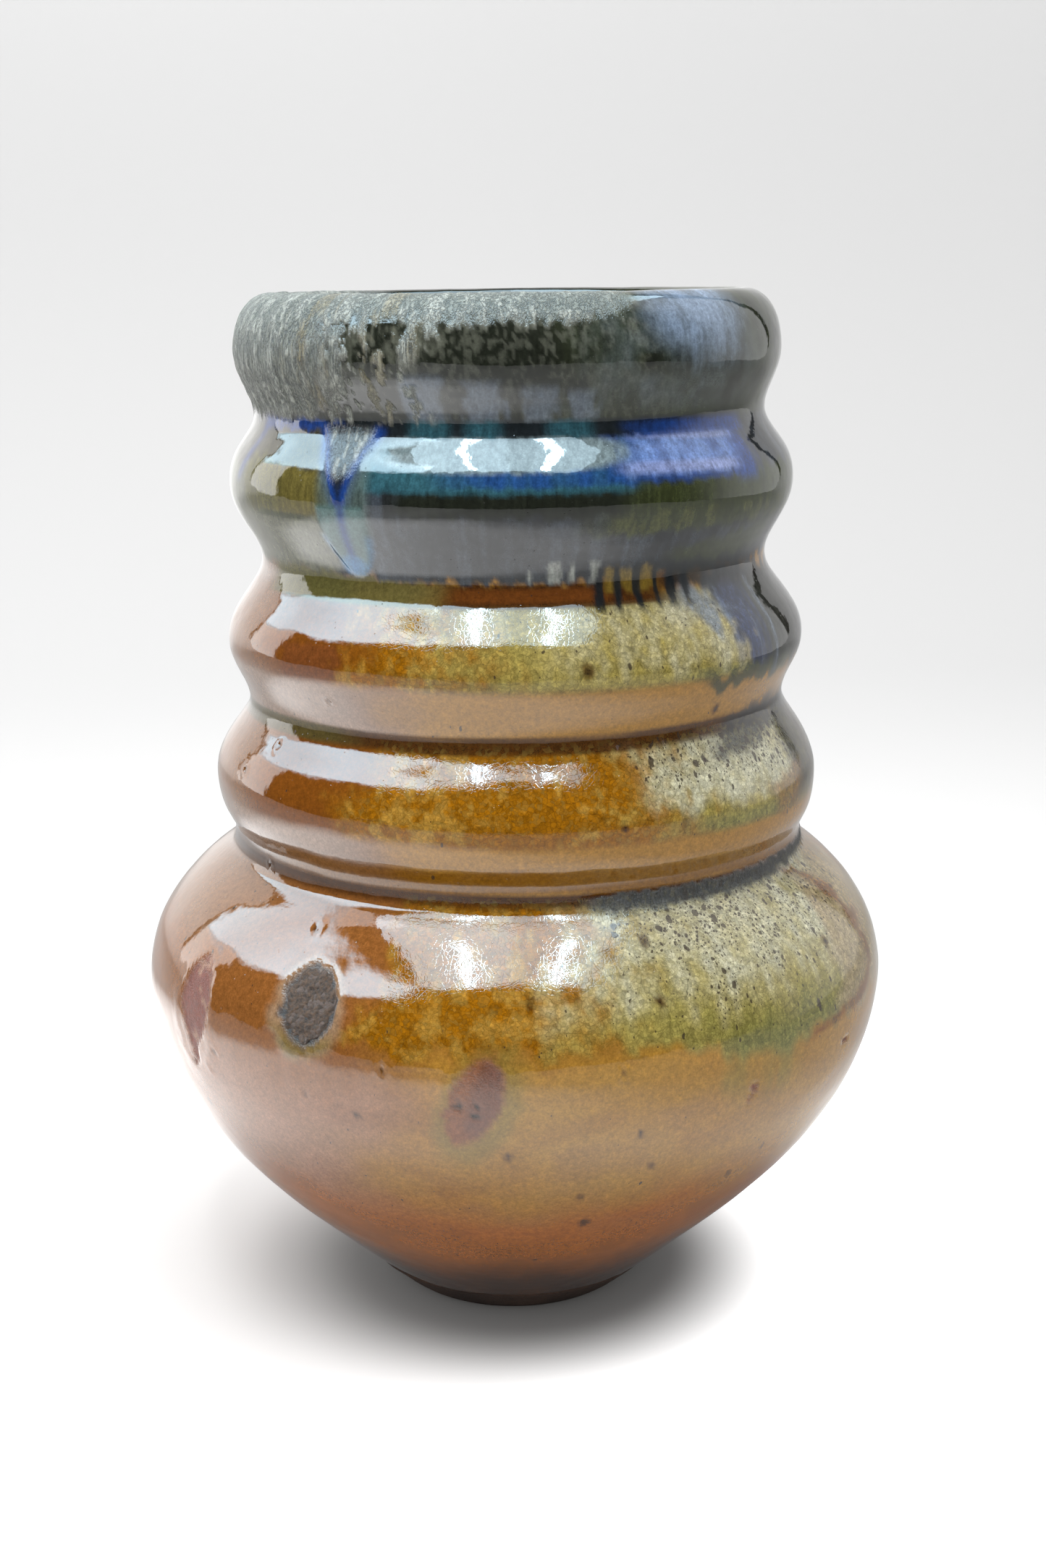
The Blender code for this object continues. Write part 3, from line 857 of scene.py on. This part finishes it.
def painted_face(path, columns):
    """The points, normals and painted layers of the glaze's face along a path."""
    angle = np.arange(columns)[None, :] * 360 / columns - 180
    level = path[:, 1].copy()
    crest = int(np.argmax(level)) if path[0, 0] < LIP_CREST_RADIUS else 0
    level[:crest] = 2 * HEIGHT - level[:crest]
    glaze = paint((angle, level[:, None]))
    points = turned_grid(path, columns, glaze.relief - GLAZE_INSET)
    return points, grid_normals(points), glaze


def glaze_coat(name, path, face, rows, material):
    """A closed coat: the painted face between two rows, and a plain back under it."""
    points, normals, glaze = face
    points, normals = points[rows], normals[rows]
    columns = points.shape[1]
    back_path = evenly(path[rows], BACK_ROW)[::-1]
    back = turned_grid(back_path[::-1], columns, -OUTER_GLAZE)[::-1]
    back_normals = -grid_normals(back[::-1])[::-1]
    loop = np.vstack([points, back, points[:1]])
    index = np.arange(loop.shape[0] * columns).reshape(-1, columns)
    index[-1] = index[0]
    layers = {}
    nearest = np.abs(path[rows][None, :, 1] - back_path[:, None, 1]).argmin(1)
    for layer in LAYERS:
        values = getattr(glaze, layer)[rows]
        both = np.concatenate([values, values[nearest]])
        layers[layer] = both.reshape((-1,) + values.shape[2:])
    every_point = np.vstack([points.reshape(-1, 3), back.reshape(-1, 3)])
    every_normal = np.vstack([normals.reshape(-1, 3), back_normals.reshape(-1, 3)])
    return new_piece(name, every_point, grid_quads(index), material, every_normal, layers)


def turned_solid(name, path, columns, lift, material):
    """A path with both ends on the axis, turned round Z and closed at each end."""
    points = turned_grid(path, columns, lift)
    index = np.arange(points.shape[0] * columns).reshape(-1, columns)
    ends = [points[0].mean(0), points[-1].mean(0)]
    first, last = points.shape[0] * columns, points.shape[0] * columns + 1
    faces = grid_quads(index)
    faces += cap(index[0].tolist(), first)
    faces += [face[::-1] for face in cap(index[-1].tolist(), last)]
    return new_piece(name, np.vstack([points.reshape(-1, 3), ends]), faces, material)


# ---- shader building


class Value:
    """A node's number. A sum or product of values adds the node that works it out."""

    def __init__(self, graph, socket):
        self.graph = graph
        self.socket = socket

    def __add__(self, other):
        return self.graph.math("ADD", self, other)

    def __mul__(self, other):
        return self.graph.math("MULTIPLY", self, other)

    def __sub__(self, other):
        return self.graph.math("SUBTRACT", self, other)

    def __rsub__(self, other):
        return self.graph.math("SUBTRACT", other, self)

    __radd__ = __add__
    __rmul__ = __mul__


class Graph:
    """Short ways to add nodes to a material's or a world's node tree."""

    def __init__(self, owner):
        owner.use_nodes = True
        self.tree = owner.node_tree

    def add(self, kind, inputs=None, **settings):
        node = self.tree.nodes.new(kind)
        for setting, value in settings.items():
            setattr(node, setting, value)
        for socket, value in (inputs or {}).items():
            self.put(node.inputs[socket], value)
        return node.outputs

    def put(self, socket, value):
        """Gives a socket a number, a colour, a value or what another socket holds."""
        if isinstance(value, Value):
            value = value.socket
        if isinstance(value, bpy.types.NodeSocket):
            self.tree.links.new(value, socket)
        elif isinstance(value, tuple) and len(value) == 3 and socket.type == "RGBA":
            socket.default_value = (*value, 1)
        else:
            socket.default_value = value

    def math(self, operation, first, second=0.0):
        return Value(self, self.add("ShaderNodeMath", {0: first, 1: second}, operation=operation)[0])

    def span(self, value, low, high, bottom=0.0, top=1.0, kind="SMOOTHSTEP"):
        """bottom where the value is at low, top where it is at high, and smooth between."""
        inputs = {"Value": value, "From Min": low, "From Max": high, "To Min": bottom, "To Max": top}
        return Value(self, self.add("ShaderNodeMapRange", inputs, interpolation_type=kind)["Result"])

    def linear(self, value, low, high, bottom, top):
        return self.span(value, low, high, bottom, top, "LINEAR")

    def within(self, value, low, high, soft):
        return self.span(value, low - soft, low + soft) * (1.0 - self.span(value, high - soft, high + soft))

    def mix(self, share, first, second, blend="MIX"):
        inputs = {0: share, 6: first, 7: second}
        return self.add("ShaderNodeMix", inputs, data_type="RGBA", blend_type=blend)[2]

    def vector(self, operation, first, second=(0, 0, 0)):
        return self.add("ShaderNodeVectorMath", {0: first, 1: second}, operation=operation)

    def stretch(self, place, x, y, z):
        return self.vector("MULTIPLY", place, (x, y, z))[0]

    def measure(self, operation, first, second=(0, 0, 0)):
        return Value(self, self.vector(operation, first, second)["Value"])

    def noise(self, place, scale, detail=2.0, roughness=0.5, output="Fac"):
        inputs = {"Vector": place, "Scale": scale, "Detail": detail, "Roughness": roughness}
        return Value(self, self.add("ShaderNodeTexNoise", inputs)[output])

    def cells(self, place, scale):
        """How far off the nearest cell's centre is, and the numbers drawn for that cell."""
        outputs = self.add("ShaderNodeTexVoronoi", {"Vector": place, "Scale": scale})
        return Value(self, outputs["Distance"]), self.parts(outputs["Color"])

    def cell_edges(self, place, scale):
        inputs = {"Vector": place, "Scale": scale}
        return Value(self, self.add("ShaderNodeTexVoronoi", inputs, feature="DISTANCE_TO_EDGE")["Distance"])

    def parts(self, vector):
        return [Value(self, part) for part in self.add("ShaderNodeSeparateXYZ", {0: vector})]

    def layer(self, name, output="Fac"):
        outputs = self.add("ShaderNodeAttribute", attribute_name=name, attribute_type="GEOMETRY")
        return Value(self, outputs[output])

    def ray(self, kind):
        return Value(self, self.add("ShaderNodeLightPath")[kind])


class Finish(Graph):
    """A material with one Principled shader, and the place on the pot in millimetres."""

    def __init__(self, name):
        self.material = bpy.data.materials.new(name)
        super().__init__(self.material)
        self.sockets = self.tree.nodes["Principled BSDF"].inputs
        self.place = self.stretch(self.add("ShaderNodeTexCoord")["Object"], 1 / MM, 1 / MM, 1 / MM)

    def finish(self, colour, height_mm, roughness, ior=1.5):
        bump = self.add("ShaderNodeBump", {"Height": height_mm, "Strength": 1.0, "Distance": MM})
        self.put(self.sockets["Base Color"], colour)
        self.put(self.sockets["Normal"], bump[0])
        self.put(self.sockets["Roughness"], roughness)
        self.sockets["IOR"].default_value = ior
        return self.material


# ---- materials

PALE_FLAKE = (0.180, 0.150, 0.040)
SPECK_BROWN = (0.026, 0.018, 0.012)
SPLIT_BLACK = (0.014, 0.016, 0.012)
CRUST_GREY = (0.21, 0.22, 0.19)
LINER_DARK = (0.040, 0.036, 0.024)
LINER_OLIVE = (0.12, 0.085, 0.040)
LINER_FLECK = (0.20, 0.15, 0.07)
# Bare clay, nearly black: partly the iron-rich clay's own dark brown, partly painted shade of the shadow
# round the foot.
CLAY_DARK = (0.022, 0.010, 0.006)
CLAY_TOASTED = (0.050, 0.024, 0.013)
CLAY_PALE = (0.075, 0.042, 0.026)
GROG_BLACK = (0.010, 0.006, 0.005)
SLIP_BUFF = (0.34, 0.19, 0.11)
SLIP_PALE = (0.50, 0.32, 0.20)
GRIT_DARK = (0.018, 0.008, 0.003)
GRIT_BROWN = (0.100, 0.056, 0.030)
GRIT_PALE = (0.10, 0.072, 0.060)
GLAZE_IOR = 1.62
LINER_IOR = 1.55
ROUGHEST_GLAZE = 0.9

# Iron specks: cells per millimetre, height squeeze, smallest and largest reach, and share of cells.
SPECKS = (
    (0.40, 0.48, 0.05, 0.42, 0.9),
    (0.80, 0.45, 0.10, 0.40, 1.2),
    (1.40, 0.60, 0.12, 0.36, 1.2),
)


def glaze_material(name):
    """Glass over iron-rich clay: crackle, specks, runs and crusted ash, where they are painted."""
    graph = Finish(name)
    place = graph.place
    crackle, specks, crust, streaks, dry = [graph.layer(layer) for layer in LAYERS[1:]]
    drift = graph.noise(place, 0.35, output="Color")
    warped = graph.vector("ADD", place, graph.stretch(drift, 1.5, 1.5, 1.5))[0]

    luck = graph.cells(warped, 0.85)[1]
    line = 1.0 - graph.span(graph.cell_edges(warped, 0.85), 0.0, 0.13)
    long_line = 1.0 - graph.span(graph.cell_edges(warped, 0.17), 0.0, 0.035)
    lines = crackle * graph.math("MAXIMUM", line * 0.8, long_line)

    mottle = graph.noise(place, 0.70, 5, 0.62)
    grain = graph.noise(place, 1.9, 3, 0.6)
    runs = graph.noise(graph.stretch(place, 1, 1, 0.045), 0.75, 4, 0.6)
    shade = graph.linear(mottle, 0.25, 0.75, 0.72, 1.28) * graph.linear(grain, 0.3, 0.7, 0.80, 1.20)
    shade *= crackle * (graph.linear(luck[0], 0.0, 1.0, 0.80, 1.24) - 1.0) + 1.0
    shade *= streaks * graph.linear(runs, 0.32, 0.68, -0.55, 0.55) + 1.0
    shade *= 1.0 - lines * 0.34
    grey = graph.add("ShaderNodeCombineColor", {0: shade, 1: shade, 2: shade})[0]
    colour = graph.mix(1.0, graph.layer(LAYERS[0], "Color"), grey, "MULTIPLY")
    colour = graph.mix(crackle * graph.span(luck[1], 0.45, 1.0) * 0.20, colour, PALE_FLAKE)

    for scale, squeeze, smallest, largest, share in SPECKS:
        away, luck = graph.cells(graph.stretch(warped, 1, 1, squeeze), scale)
        reach = graph.linear(luck[0], 0.0, 1.0, smallest, largest)
        dot = 1.0 - graph.span(away - reach, -0.05, 0.05)
        there = graph.math("LESS_THAN", luck[1], specks * share)
        colour = graph.mix(dot * there * 0.86, colour, SPECK_BROWN)

    splits = graph.noise(graph.stretch(place, 1, 1, 0.14), 0.8, 3, 0.65)
    split = 1.0 - graph.span(graph.math("ABSOLUTE", splits - 0.5), 0.012, 0.07)
    colour = graph.mix(crust * split * 0.8, colour, SPLIT_BLACK)
    ash_grain = graph.noise(place, 1.3, 5, 0.7)
    colour = graph.mix(crust * graph.span(ash_grain, 0.5, 0.72) * 0.5, colour, CRUST_GREY)

    waviness = graph.noise(place, 0.11)
    peel = graph.noise(place, 0.45)
    away, luck = graph.cells(place, 0.55)
    pinhole = (1.0 - graph.span(away, 0.05, 0.13)) * graph.math("LESS_THAN", luck[0], 0.35)
    height = waviness * 0.10 + peel * 0.022 + lines * -0.008 + pinhole * -0.03
    height += crust * (ash_grain * 0.5 + split * -0.25) + dry * grain * 0.5
    roughness = graph.linear(mottle, 0.3, 0.7, 0.03, 0.06) + crust * 0.24 + dry * 0.50
    return graph.finish(colour, height, graph.math("MINIMUM", roughness, ROUGHEST_GLAZE), GLAZE_IOR)


def liner_material():
    """A thin olive-brown glaze inside, thicker in the hollows."""
    graph = Finish("liner_glaze_finish")
    mottle = graph.noise(graph.stretch(graph.place, 1, 1, 0.4), 0.12, 5, 0.6)
    grain = graph.noise(graph.place, 1.1, 4, 0.6)
    colour = graph.mix(graph.span(mottle, 0.35, 0.65), LINER_DARK, LINER_OLIVE)
    colour = graph.mix(graph.span(grain, 0.55, 0.8, 0, 0.5), colour, LINER_FLECK)
    roughness = graph.linear(grain, 0.3, 0.7, 0.12, 0.22)
    return graph.finish(colour, mottle * 0.25 + grain * 0.03, roughness, LINER_IOR)


def clay_material():
    """Bare stoneware toasted by the fire, with iron specks and grog, nearly black: partly the clay's own
    dark brown and partly painted shade of the shadow round the foot.
    """
    graph = Finish("stoneware_clay_finish")
    toast = graph.noise(graph.place, 0.05, 4, 0.6)
    grain = graph.noise(graph.place, 1.6, 5, 0.65)
    away, luck = graph.cells(graph.place, 0.45)
    grog = (1.0 - graph.span(away, 0.10, 0.22)) * graph.math("LESS_THAN", luck[0], 0.3)
    colour = graph.mix(graph.span(toast, 0.35, 0.65), CLAY_DARK, CLAY_TOASTED)
    colour = graph.mix(graph.span(grain, 0.35, 0.7, 0, 0.5), colour, CLAY_PALE)
    colour = graph.mix(grog * 0.8, colour, GROG_BLACK)
    return graph.finish(colour, grain * 0.22 + grog * 0.05, graph.linear(grain, 0.3, 0.7, 0.62, 0.82))


def slip_material():
    """The buff joining slip, hidden in the seam."""
    graph = Finish("luting_slip_finish")
    grain = graph.noise(graph.place, 1.2, 4, 0.6)
    colour = graph.mix(grain, SLIP_BUFF, SLIP_PALE)
    return graph.finish(colour, grain * 0.2, graph.linear(grain, 0.3, 0.7, 0.6, 0.8))


def grit_material():
    """Kiln sand and wad clay baked on: dark, dry and coarse, with pale grains."""
    graph = Finish("wad_grit_finish")
    grain = graph.noise(graph.place, 1.1, 6, 0.75)
    away, luck = graph.cells(graph.place, 0.9)
    colour = graph.mix(graph.span(grain, 0.35, 0.68), GRIT_DARK, GRIT_BROWN)
    colour = graph.mix(graph.math("GREATER_THAN", luck[0], 0.8) * 0.6, colour, GRIT_PALE)
    return graph.finish(colour, grain * 0.7 + away * -0.35, graph.linear(grain, 0.3, 0.7, 0.45, 0.8))


# ---- the pieces

ROOT = "root"
AXIS_CLEAR = 1.0
CLAY_ROW = 3.0
FOOT_ROW = 0.7
RING_SINK = 0.15
WAD_RINGS = 44
WAD_SPOKES = 150
WAD_TOP = -0.6
WAD_UNDERSIDE = -1.35


def settle(piece, slot, *nodes):
    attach(piece, ROOT)
    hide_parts(*nodes)


def make_glaze_coats(outside, inside):
    """The outside glaze in three coats that meet: over the neck, the lower ribs and the bowl."""
    lip_inside = between(inside, NECK_GLAZE_INNER_END, HEIGHT - 0.01)
    neck_path = evenly(np.vstack([lip_inside, between(outside, NECK_GLAZE_BOTTOM, HEIGHT)]), NECK_ROW)
    rib_path = evenly(between(outside, RIB_GLAZE_BOTTOM, NECK_GLAZE_BOTTOM), RIB_ROW)
    path = np.vstack([neck_path, rib_path[1:]])
    meeting = len(neck_path) - 1
    face = painted_face(path, NECK_COLUMNS)
    cobalt = glaze_material("cobalt_glaze_finish")
    coat = glaze_coat("neck_glaze_coat", path, face, slice(0, meeting + 1), cobalt)
    settle(coat, "cobalt_glaze", "neck_glaze")
    ash = glaze_material("ash_glaze_finish")
    coat = glaze_coat("rib_glaze_coat", path, face, slice(meeting, len(path)), ash)
    settle(coat, "ash_glaze", "body_glaze")
    path = evenly(between(outside, BODY_GLAZE_BOTTOM, RIB_GLAZE_BOTTOM), BOWL_ROW)
    face = painted_face(path, BOWL_COLUMNS)
    coat = glaze_coat("bowl_glaze_coat", path, face, slice(0, len(path)), ash)
    settle(coat, "ash_glaze", "body_glaze")


def throwing_rings(path, columns, depth, pitch, seed):
    """Low spiral rings left by fingers, uneven from one to the next."""
    turn = np.arange(columns)[None, :] / columns
    length = np.r_[0, np.cumsum(np.linalg.norm(np.diff(path, axis=0), axis=1))][:, None]
    place = (turn * 360, length % (NOISE_TOP - 20))
    spiral = np.sin(2 * np.pi * (length / pitch + turn))
    return depth * (spiral + 0.8 * blotches(place, 30, 4, seed, 2))


def make_liner(inside):
    face = evenly(between(inside, 0, NECK_GLAZE_INNER_END - LAYER_GAP), PLAIN_ROW)
    face = face[face[:, 0] > AXIS_CLEAR]
    under = evenly(face, BACK_ROW)
    back = (under - LINER_GLAZE * outward(under))[::-1]
    path = np.vstack([face, back])
    rings = throwing_rings(face, PLAIN_COLUMNS, 0.12, 6.5, 1000) - RING_SINK
    lift = np.vstack([rings, np.zeros((len(back), PLAIN_COLUMNS))])
    piece = turned_solid("liner_glaze_coat", path, PLAIN_COLUMNS, lift, liner_material())
    settle(piece, "liner_glaze", "liner_glaze")


def make_bowl_clay(outside, inside):
    """The thrown bowl: its bare foot shows under the glaze."""
    hollow = evenly(between(inside, 0, SEAM_BOTTOM), CLAY_ROW)
    hollow = hollow[hollow[:, 0] > AXIS_CLEAR]
    hollow = hollow - (LINER_GLAZE + LAYER_GAP) * outward(hollow)
    covered = evenly(between(outside, BODY_GLAZE_BOTTOM, SEAM_BOTTOM), CLAY_ROW)
    covered = covered - (OUTER_GLAZE + LAYER_GAP) * outward(covered)
    bare = evenly(between(outside, 1.2, BODY_GLAZE_BOTTOM - 0.6), FOOT_ROW)
    foot_edge = float(outside[-1, 0])
    foot = [
        (foot_edge + 0.2, 0.75),
        (foot_edge - 0.25, 0.2),
        (foot_edge - FOOT_EDGE_CHAMFER, 0.0),
        (FOOT_FACE_INNER_RADIUS, 0.0),
        (FOOT_RECESS_RADIUS, FOOT_RECESS),
        (1.5, FOOT_RECESS),
    ]
    foot = evenly(np.array(foot), FOOT_ROW)
    path = np.vstack([hollow, covered, bare, foot])
    lift = np.zeros((len(path), PLAIN_COLUMNS))
    start = len(hollow) + len(covered)
    rings = throwing_rings(bare, PLAIN_COLUMNS, 0.07, 1.9, 1100) - RING_SINK
    lift[start : start + len(bare)] = rings
    piece = turned_solid("bowl_clay", path, PLAIN_COLUMNS, lift, clay_material())
    settle(piece, "stoneware_clay", "lower_body")


def make_wad(outside):
    """The crumbly grit left in the wad scar: an oval crust, rough on top and flat beneath."""
    share = (np.arange(1, WAD_RINGS + 1) / WAD_RINGS)[:, None]
    turn = np.linspace(0, 2 * np.pi, WAD_SPOKES, endpoint=False)[None, :]
    ragged = 0.93 + 0.05 * np.sin(3 * turn + 1) + 0.04 * np.sin(7 * turn) + 0.02 * np.sin(13 * turn + 2)
    angle = WAD_SCAR[0] + WAD_SCAR[2] * share * ragged * np.cos(turn)
    level = WAD_SCAR[1] + WAD_SCAR[3] * share * ragged * np.sin(turn)
    place = (angle, level)
    rough = 0.30 * blotches(place, 4, 4, 1200) + 0.16 * blotches(place, 1.2, 1.2, 1210, 2)
    top = pot_points(outside, angle, level, WAD_TOP - 0.02 + rough - 0.5 * share**8)
    rim = pot_points(outside, angle[-1:], level[-1:], WAD_UNDERSIDE)
    ends = [pot_points(outside, *WAD_SCAR[:2], lift) for lift in (WAD_TOP, WAD_UNDERSIDE)]
    points = np.vstack([top.reshape(-1, 3), rim.reshape(-1, 3)])
    index = np.arange((WAD_RINGS + 1) * WAD_SPOKES).reshape(-1, WAD_SPOKES)
    faces = grid_quads(index)
    faces += cap(index[0].tolist(), len(points))
    faces += [face[::-1] for face in cap(index[-1].tolist(), len(points) + 1)]
    piece = new_piece("wad_grit_crust", np.vstack([points, ends]), faces, grit_material())
    settle(piece, "wad_grit", "wad_residue")


def pot_points(outside, angle, level, lift):
    """Points at an angle and height on the outside, lifted off the glaze's true face."""
    away = outward(outside)
    order = np.argsort(outside[:, 1])
    heights = outside[order, 1]
    radius = np.interp(level, heights, outside[order, 0])
    out_x = np.interp(level, heights, away[order, 0])
    out_z = np.interp(level, heights, away[order, 1])
    radius = radius + out_x * lift
    turn = np.radians(angle)
    return out_of_true(np.stack([radius * np.sin(turn), -radius * np.cos(turn), level + out_z * lift], -1))


# ---- the studio

FLOOR_FRONT = -1.3
FLOOR_SIDES = (-2.05, 1.45)
SWEEP_START = 1.0
SWEEP_RADIUS = 0.6
SWEEP_TOP = 2.0
SWEEP_STEPS = 25
WHITE = (1.0, 1.0, 1.0)
PAPER = (0.60, 0.60, 0.60)
# Painted shade: in reflections the paper is a darker grey, darkest on the right.
PAPER_IN_GLOSS_LEFT = (0.46, 0.46, 0.46)
PAPER_SHADED_IN_GLOSS_RIGHT = (0.32, 0.32, 0.32)
# Painted shadow: the grey of the paper right under the pot, as the camera sees it.
PAPER_PAINTED_SHADOW_UNDER_POT = (0.31, 0.305, 0.30)
PAPER_SEEN = (0.55, 0.55, 0.55)
BACKDROP_SEEN = (0.86, 0.86, 0.86)
# A painted pool of light on the paper, seen only in reflections, is brightest in front of the pot on its
# left.
PAINTED_LIGHT_POOL_CENTRE = (-0.14, -0.06, 0.0)
# The lamps are cooler in a reflection than in the light that they throw.
COOL_WHITE = (0.63, 0.86, 1.0)
# Lamps: the name, the centre, the size in metres and the radiance.
LAMPS = (
    ("softbox_left", (-0.20, -0.10, 0.86), (0.36, 0.90), 5.4),
    ("softbox_right", (0.14, -0.10, 0.86), (0.32, 0.90), 3.6),
    ("tube_left", (-0.17, -0.34, 0.85), (0.045, 0.36), 24),
    ("tube_right", (0.145, -0.34, 0.85), (0.045, 0.36), 24),
)
GLOSS_DROP = 0.004
GLOSS_GAIN = 1.4
LENS = 47.35
SENSOR = 36.0
CAMERA_PLACE = (0.0026, -0.6051, 0.3048)
CAMERA_DOWN = 13.96


def paper_material():
    """White paper with painted light and shade: a painted shadow under the pot, glows that lighten that
    shadow and the backdrop, and a painted pool of light that only reflections see.
    """
    material = bpy.data.materials.new("studio_paper")
    graph = Graph(material)
    shader = graph.tree.nodes["Principled BSDF"].inputs
    seen, glossy = graph.ray("Is Camera Ray"), graph.ray("Is Glossy Ray")
    place = graph.add("ShaderNodeTexCoord")["Object"]
    across, depth, height = graph.parts(place)
    away = graph.measure("LENGTH", place)
    aside = graph.measure("DISTANCE", place, PAINTED_LIGHT_POOL_CENTRE)
    wall = graph.span(depth, SWEEP_START - 0.3, SWEEP_START + SWEEP_RADIUS)
    # Painted shade: the paper as reflections see it darkens towards the right.
    in_gloss = graph.mix(graph.span(across, -0.45, -0.2), PAPER_IN_GLOSS_LEFT, PAPER_SHADED_IN_GLOSS_RIGHT)
    # Painted shadow: the paper seen by the camera turns darker close round the pot.
    paper_with_painted_shadow = graph.mix(graph.span(away, 0.045, 0.10), PAPER_PAINTED_SHADOW_UNDER_POT, PAPER_SEEN)
    graph.put(shader["Base Color"], graph.mix(seen, graph.mix(glossy, PAPER, in_gloss), paper_with_painted_shadow))
    # A painted pool of light: a ring of glow round the pot that only reflections see.
    painted_light_pool = glossy * graph.span(away, 0.09, 0.17) * graph.span(aside, 0.20, 0.40, 1.0, 0.0)
    painted_light_pool *= graph.span(across, -0.3, 0.0, 2.2, 1.4)
    # Painted light: the paper beside the pot glows for the camera, more on the right, lightening the shadow
    # there.
    lift = seen * graph.span(away, 0.048, 0.092) * graph.span(away, 0.17, 0.31, 1.05, 0.0)
    lift *= graph.span(across, -0.14, 0.10)
    # Painted light on the backdrop: for the camera it glows brighter higher up and a little dimmer on the
    # right; for other rays it glows brighter on the left, lighting the pot and showing in its gloss.
    upper = wall * seen * graph.span(height, 0.3, 1.3, 0.10, 0.44) * graph.span(across, -0.4, 0.7, 1.0, 0.7)
    painted_backdrop_glow = wall * (1.0 - seen) * graph.span(across, -0.6, 0.6, 1.12, 0.35)
    graph.put(shader["Emission Strength"], painted_backdrop_glow + upper + lift + painted_light_pool)
    graph.put(shader["Emission Color"], WHITE)
    shader["Roughness"].default_value = 0.9
    shader["Specular IOR Level"].default_value = 0.0
    return material


def make_stage():
    """A white sweep: a floor that curves up into a backdrop."""
    turn = np.linspace(0, np.pi / 2, SWEEP_STEPS)
    curve = np.c_[SWEEP_START + SWEEP_RADIUS * np.sin(turn), SWEEP_RADIUS * (1 - np.cos(turn))]
    profile = np.vstack([[FLOOR_FRONT, 0.0], curve, [SWEEP_START + SWEEP_RADIUS, SWEEP_TOP]])
    points = [(x, y, z) for x in FLOOR_SIDES for y, z in profile]
    count = len(profile)
    faces = [(i, i + count, i + count + 1, i + 1) for i in range(count - 1)]
    mesh = bpy.data.meshes.new("studio_sweep")
    mesh.from_pydata(points, [], faces)
    mesh.shade_smooth()
    mesh.materials.append(paper_material())
    sweep = bpy.data.objects.new("studio_sweep", mesh)
    bpy.context.scene.collection.objects.link(sweep)


def area_light(name, centre, size, radiance, in_gloss):
    """A lamp of even radiance, facing the floor under it, that lights the pot or shows in its gloss."""
    lamp = bpy.data.lights.new(name, "AREA")
    lamp.shape = "RECTANGLE"
    lamp.size, lamp.size_y = size
    lamp.energy = radiance * math.pi * size[0] * size[1]
    holder = bpy.data.objects.new(name, lamp)
    holder.location = centre
    holder.rotation_euler = Vector((0, 0, -centre[2])).to_track_quat("-Z", "Y").to_euler()
    holder.visible_camera = False
    holder.visible_glossy = in_gloss
    holder.visible_diffuse = not in_gloss
    if in_gloss:
        lamp.color = COOL_WHITE
    bpy.context.scene.collection.objects.link(holder)


def make_lights():
    for name, (x, y, z), size, radiance in LAMPS:
        area_light(name, (x, y, z), size, radiance, False)
        area_light(f"{name}_gloss", (x, y, z - GLOSS_DROP), size, GLOSS_GAIN * radiance, True)


def make_world():
    """The room by direction: dark in front and on the right, white boards on the left."""
    world = bpy.data.worlds.new("studio")
    bpy.context.scene.world = world
    graph = Graph(world)
    background = graph.tree.nodes["Background"].inputs
    x, y, z = graph.parts(graph.add("ShaderNodeTexCoord")["Generated"])
    azimuth = graph.math("ARCTAN2", x, y * -1) * math.degrees(1)
    elevation = graph.math("ARCSINE", z) * math.degrees(1)

    board = graph.within(azimuth, -128, -107, 1) * graph.span(elevation, -7, -5) * 3.0
    sill = graph.linear(azimuth, -128, -50, 18, 44)
    above_sill = graph.span(elevation - sill, -1.5, 2)
    bright = (1.0 - graph.span(elevation, 50, 56)) * graph.span(azimuth, -118, -85, 6.5, 10.8)
    window = graph.within(azimuth, -128, -42, 1.5) * above_sill * bright
    in_window = graph.span(window, 0.0, 4.0)
    room = graph.span(azimuth, 70, 105) * (1.0 - graph.span(azimuth, 135, 136.5))
    walls = room + 0.04 + board + graph.span(elevation, 60, 80, 0, 0.6)
    mirrored = walls * ((1.0 - in_window) + 0.02) + window
    soft = graph.span(azimuth, -30, -90, 0.0, 0.9) + 1.1
    glossy = graph.ray("Is Glossy Ray")
    strength = glossy * mirrored + (1.0 - glossy) * soft
    strength = graph.mix(graph.ray("Is Camera Ray"), strength, BACKDROP_SEEN)
    graph.put(background["Strength"], strength)
    graph.put(background["Color"], graph.mix(glossy * in_window, WHITE, COOL_WHITE))


def make_camera():
    camera = bpy.data.cameras.new("camera")
    camera.lens = LENS
    camera.sensor_width = SENSOR
    holder = bpy.data.objects.new("camera", camera)
    holder.location = CAMERA_PLACE
    holder.rotation_euler = (math.radians(90 - CAMERA_DOWN), 0, 0)
    bpy.context.scene.collection.objects.link(holder)
    bpy.context.scene.camera = holder


def only_material(node, material):
    """Gives a node carried over from the CAD this one material."""
    node.data.materials.clear()
    node.data.materials.append(material)


def main():
    make_camera()
    make_stage()
    make_lights()
    make_world()
    outside = outer_outline()
    inside = inner_outline()
    make_glaze_coats(outside, inside)
    make_liner(inside)
    make_bowl_clay(outside, inside)
    make_wad(outside)
    only_material(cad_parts["neck"], bpy.data.materials["stoneware_clay_finish"])
    only_material(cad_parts["seam_slip"], slip_material())
    bpy.context.scene.view_settings.view_transform = "Standard"


main()
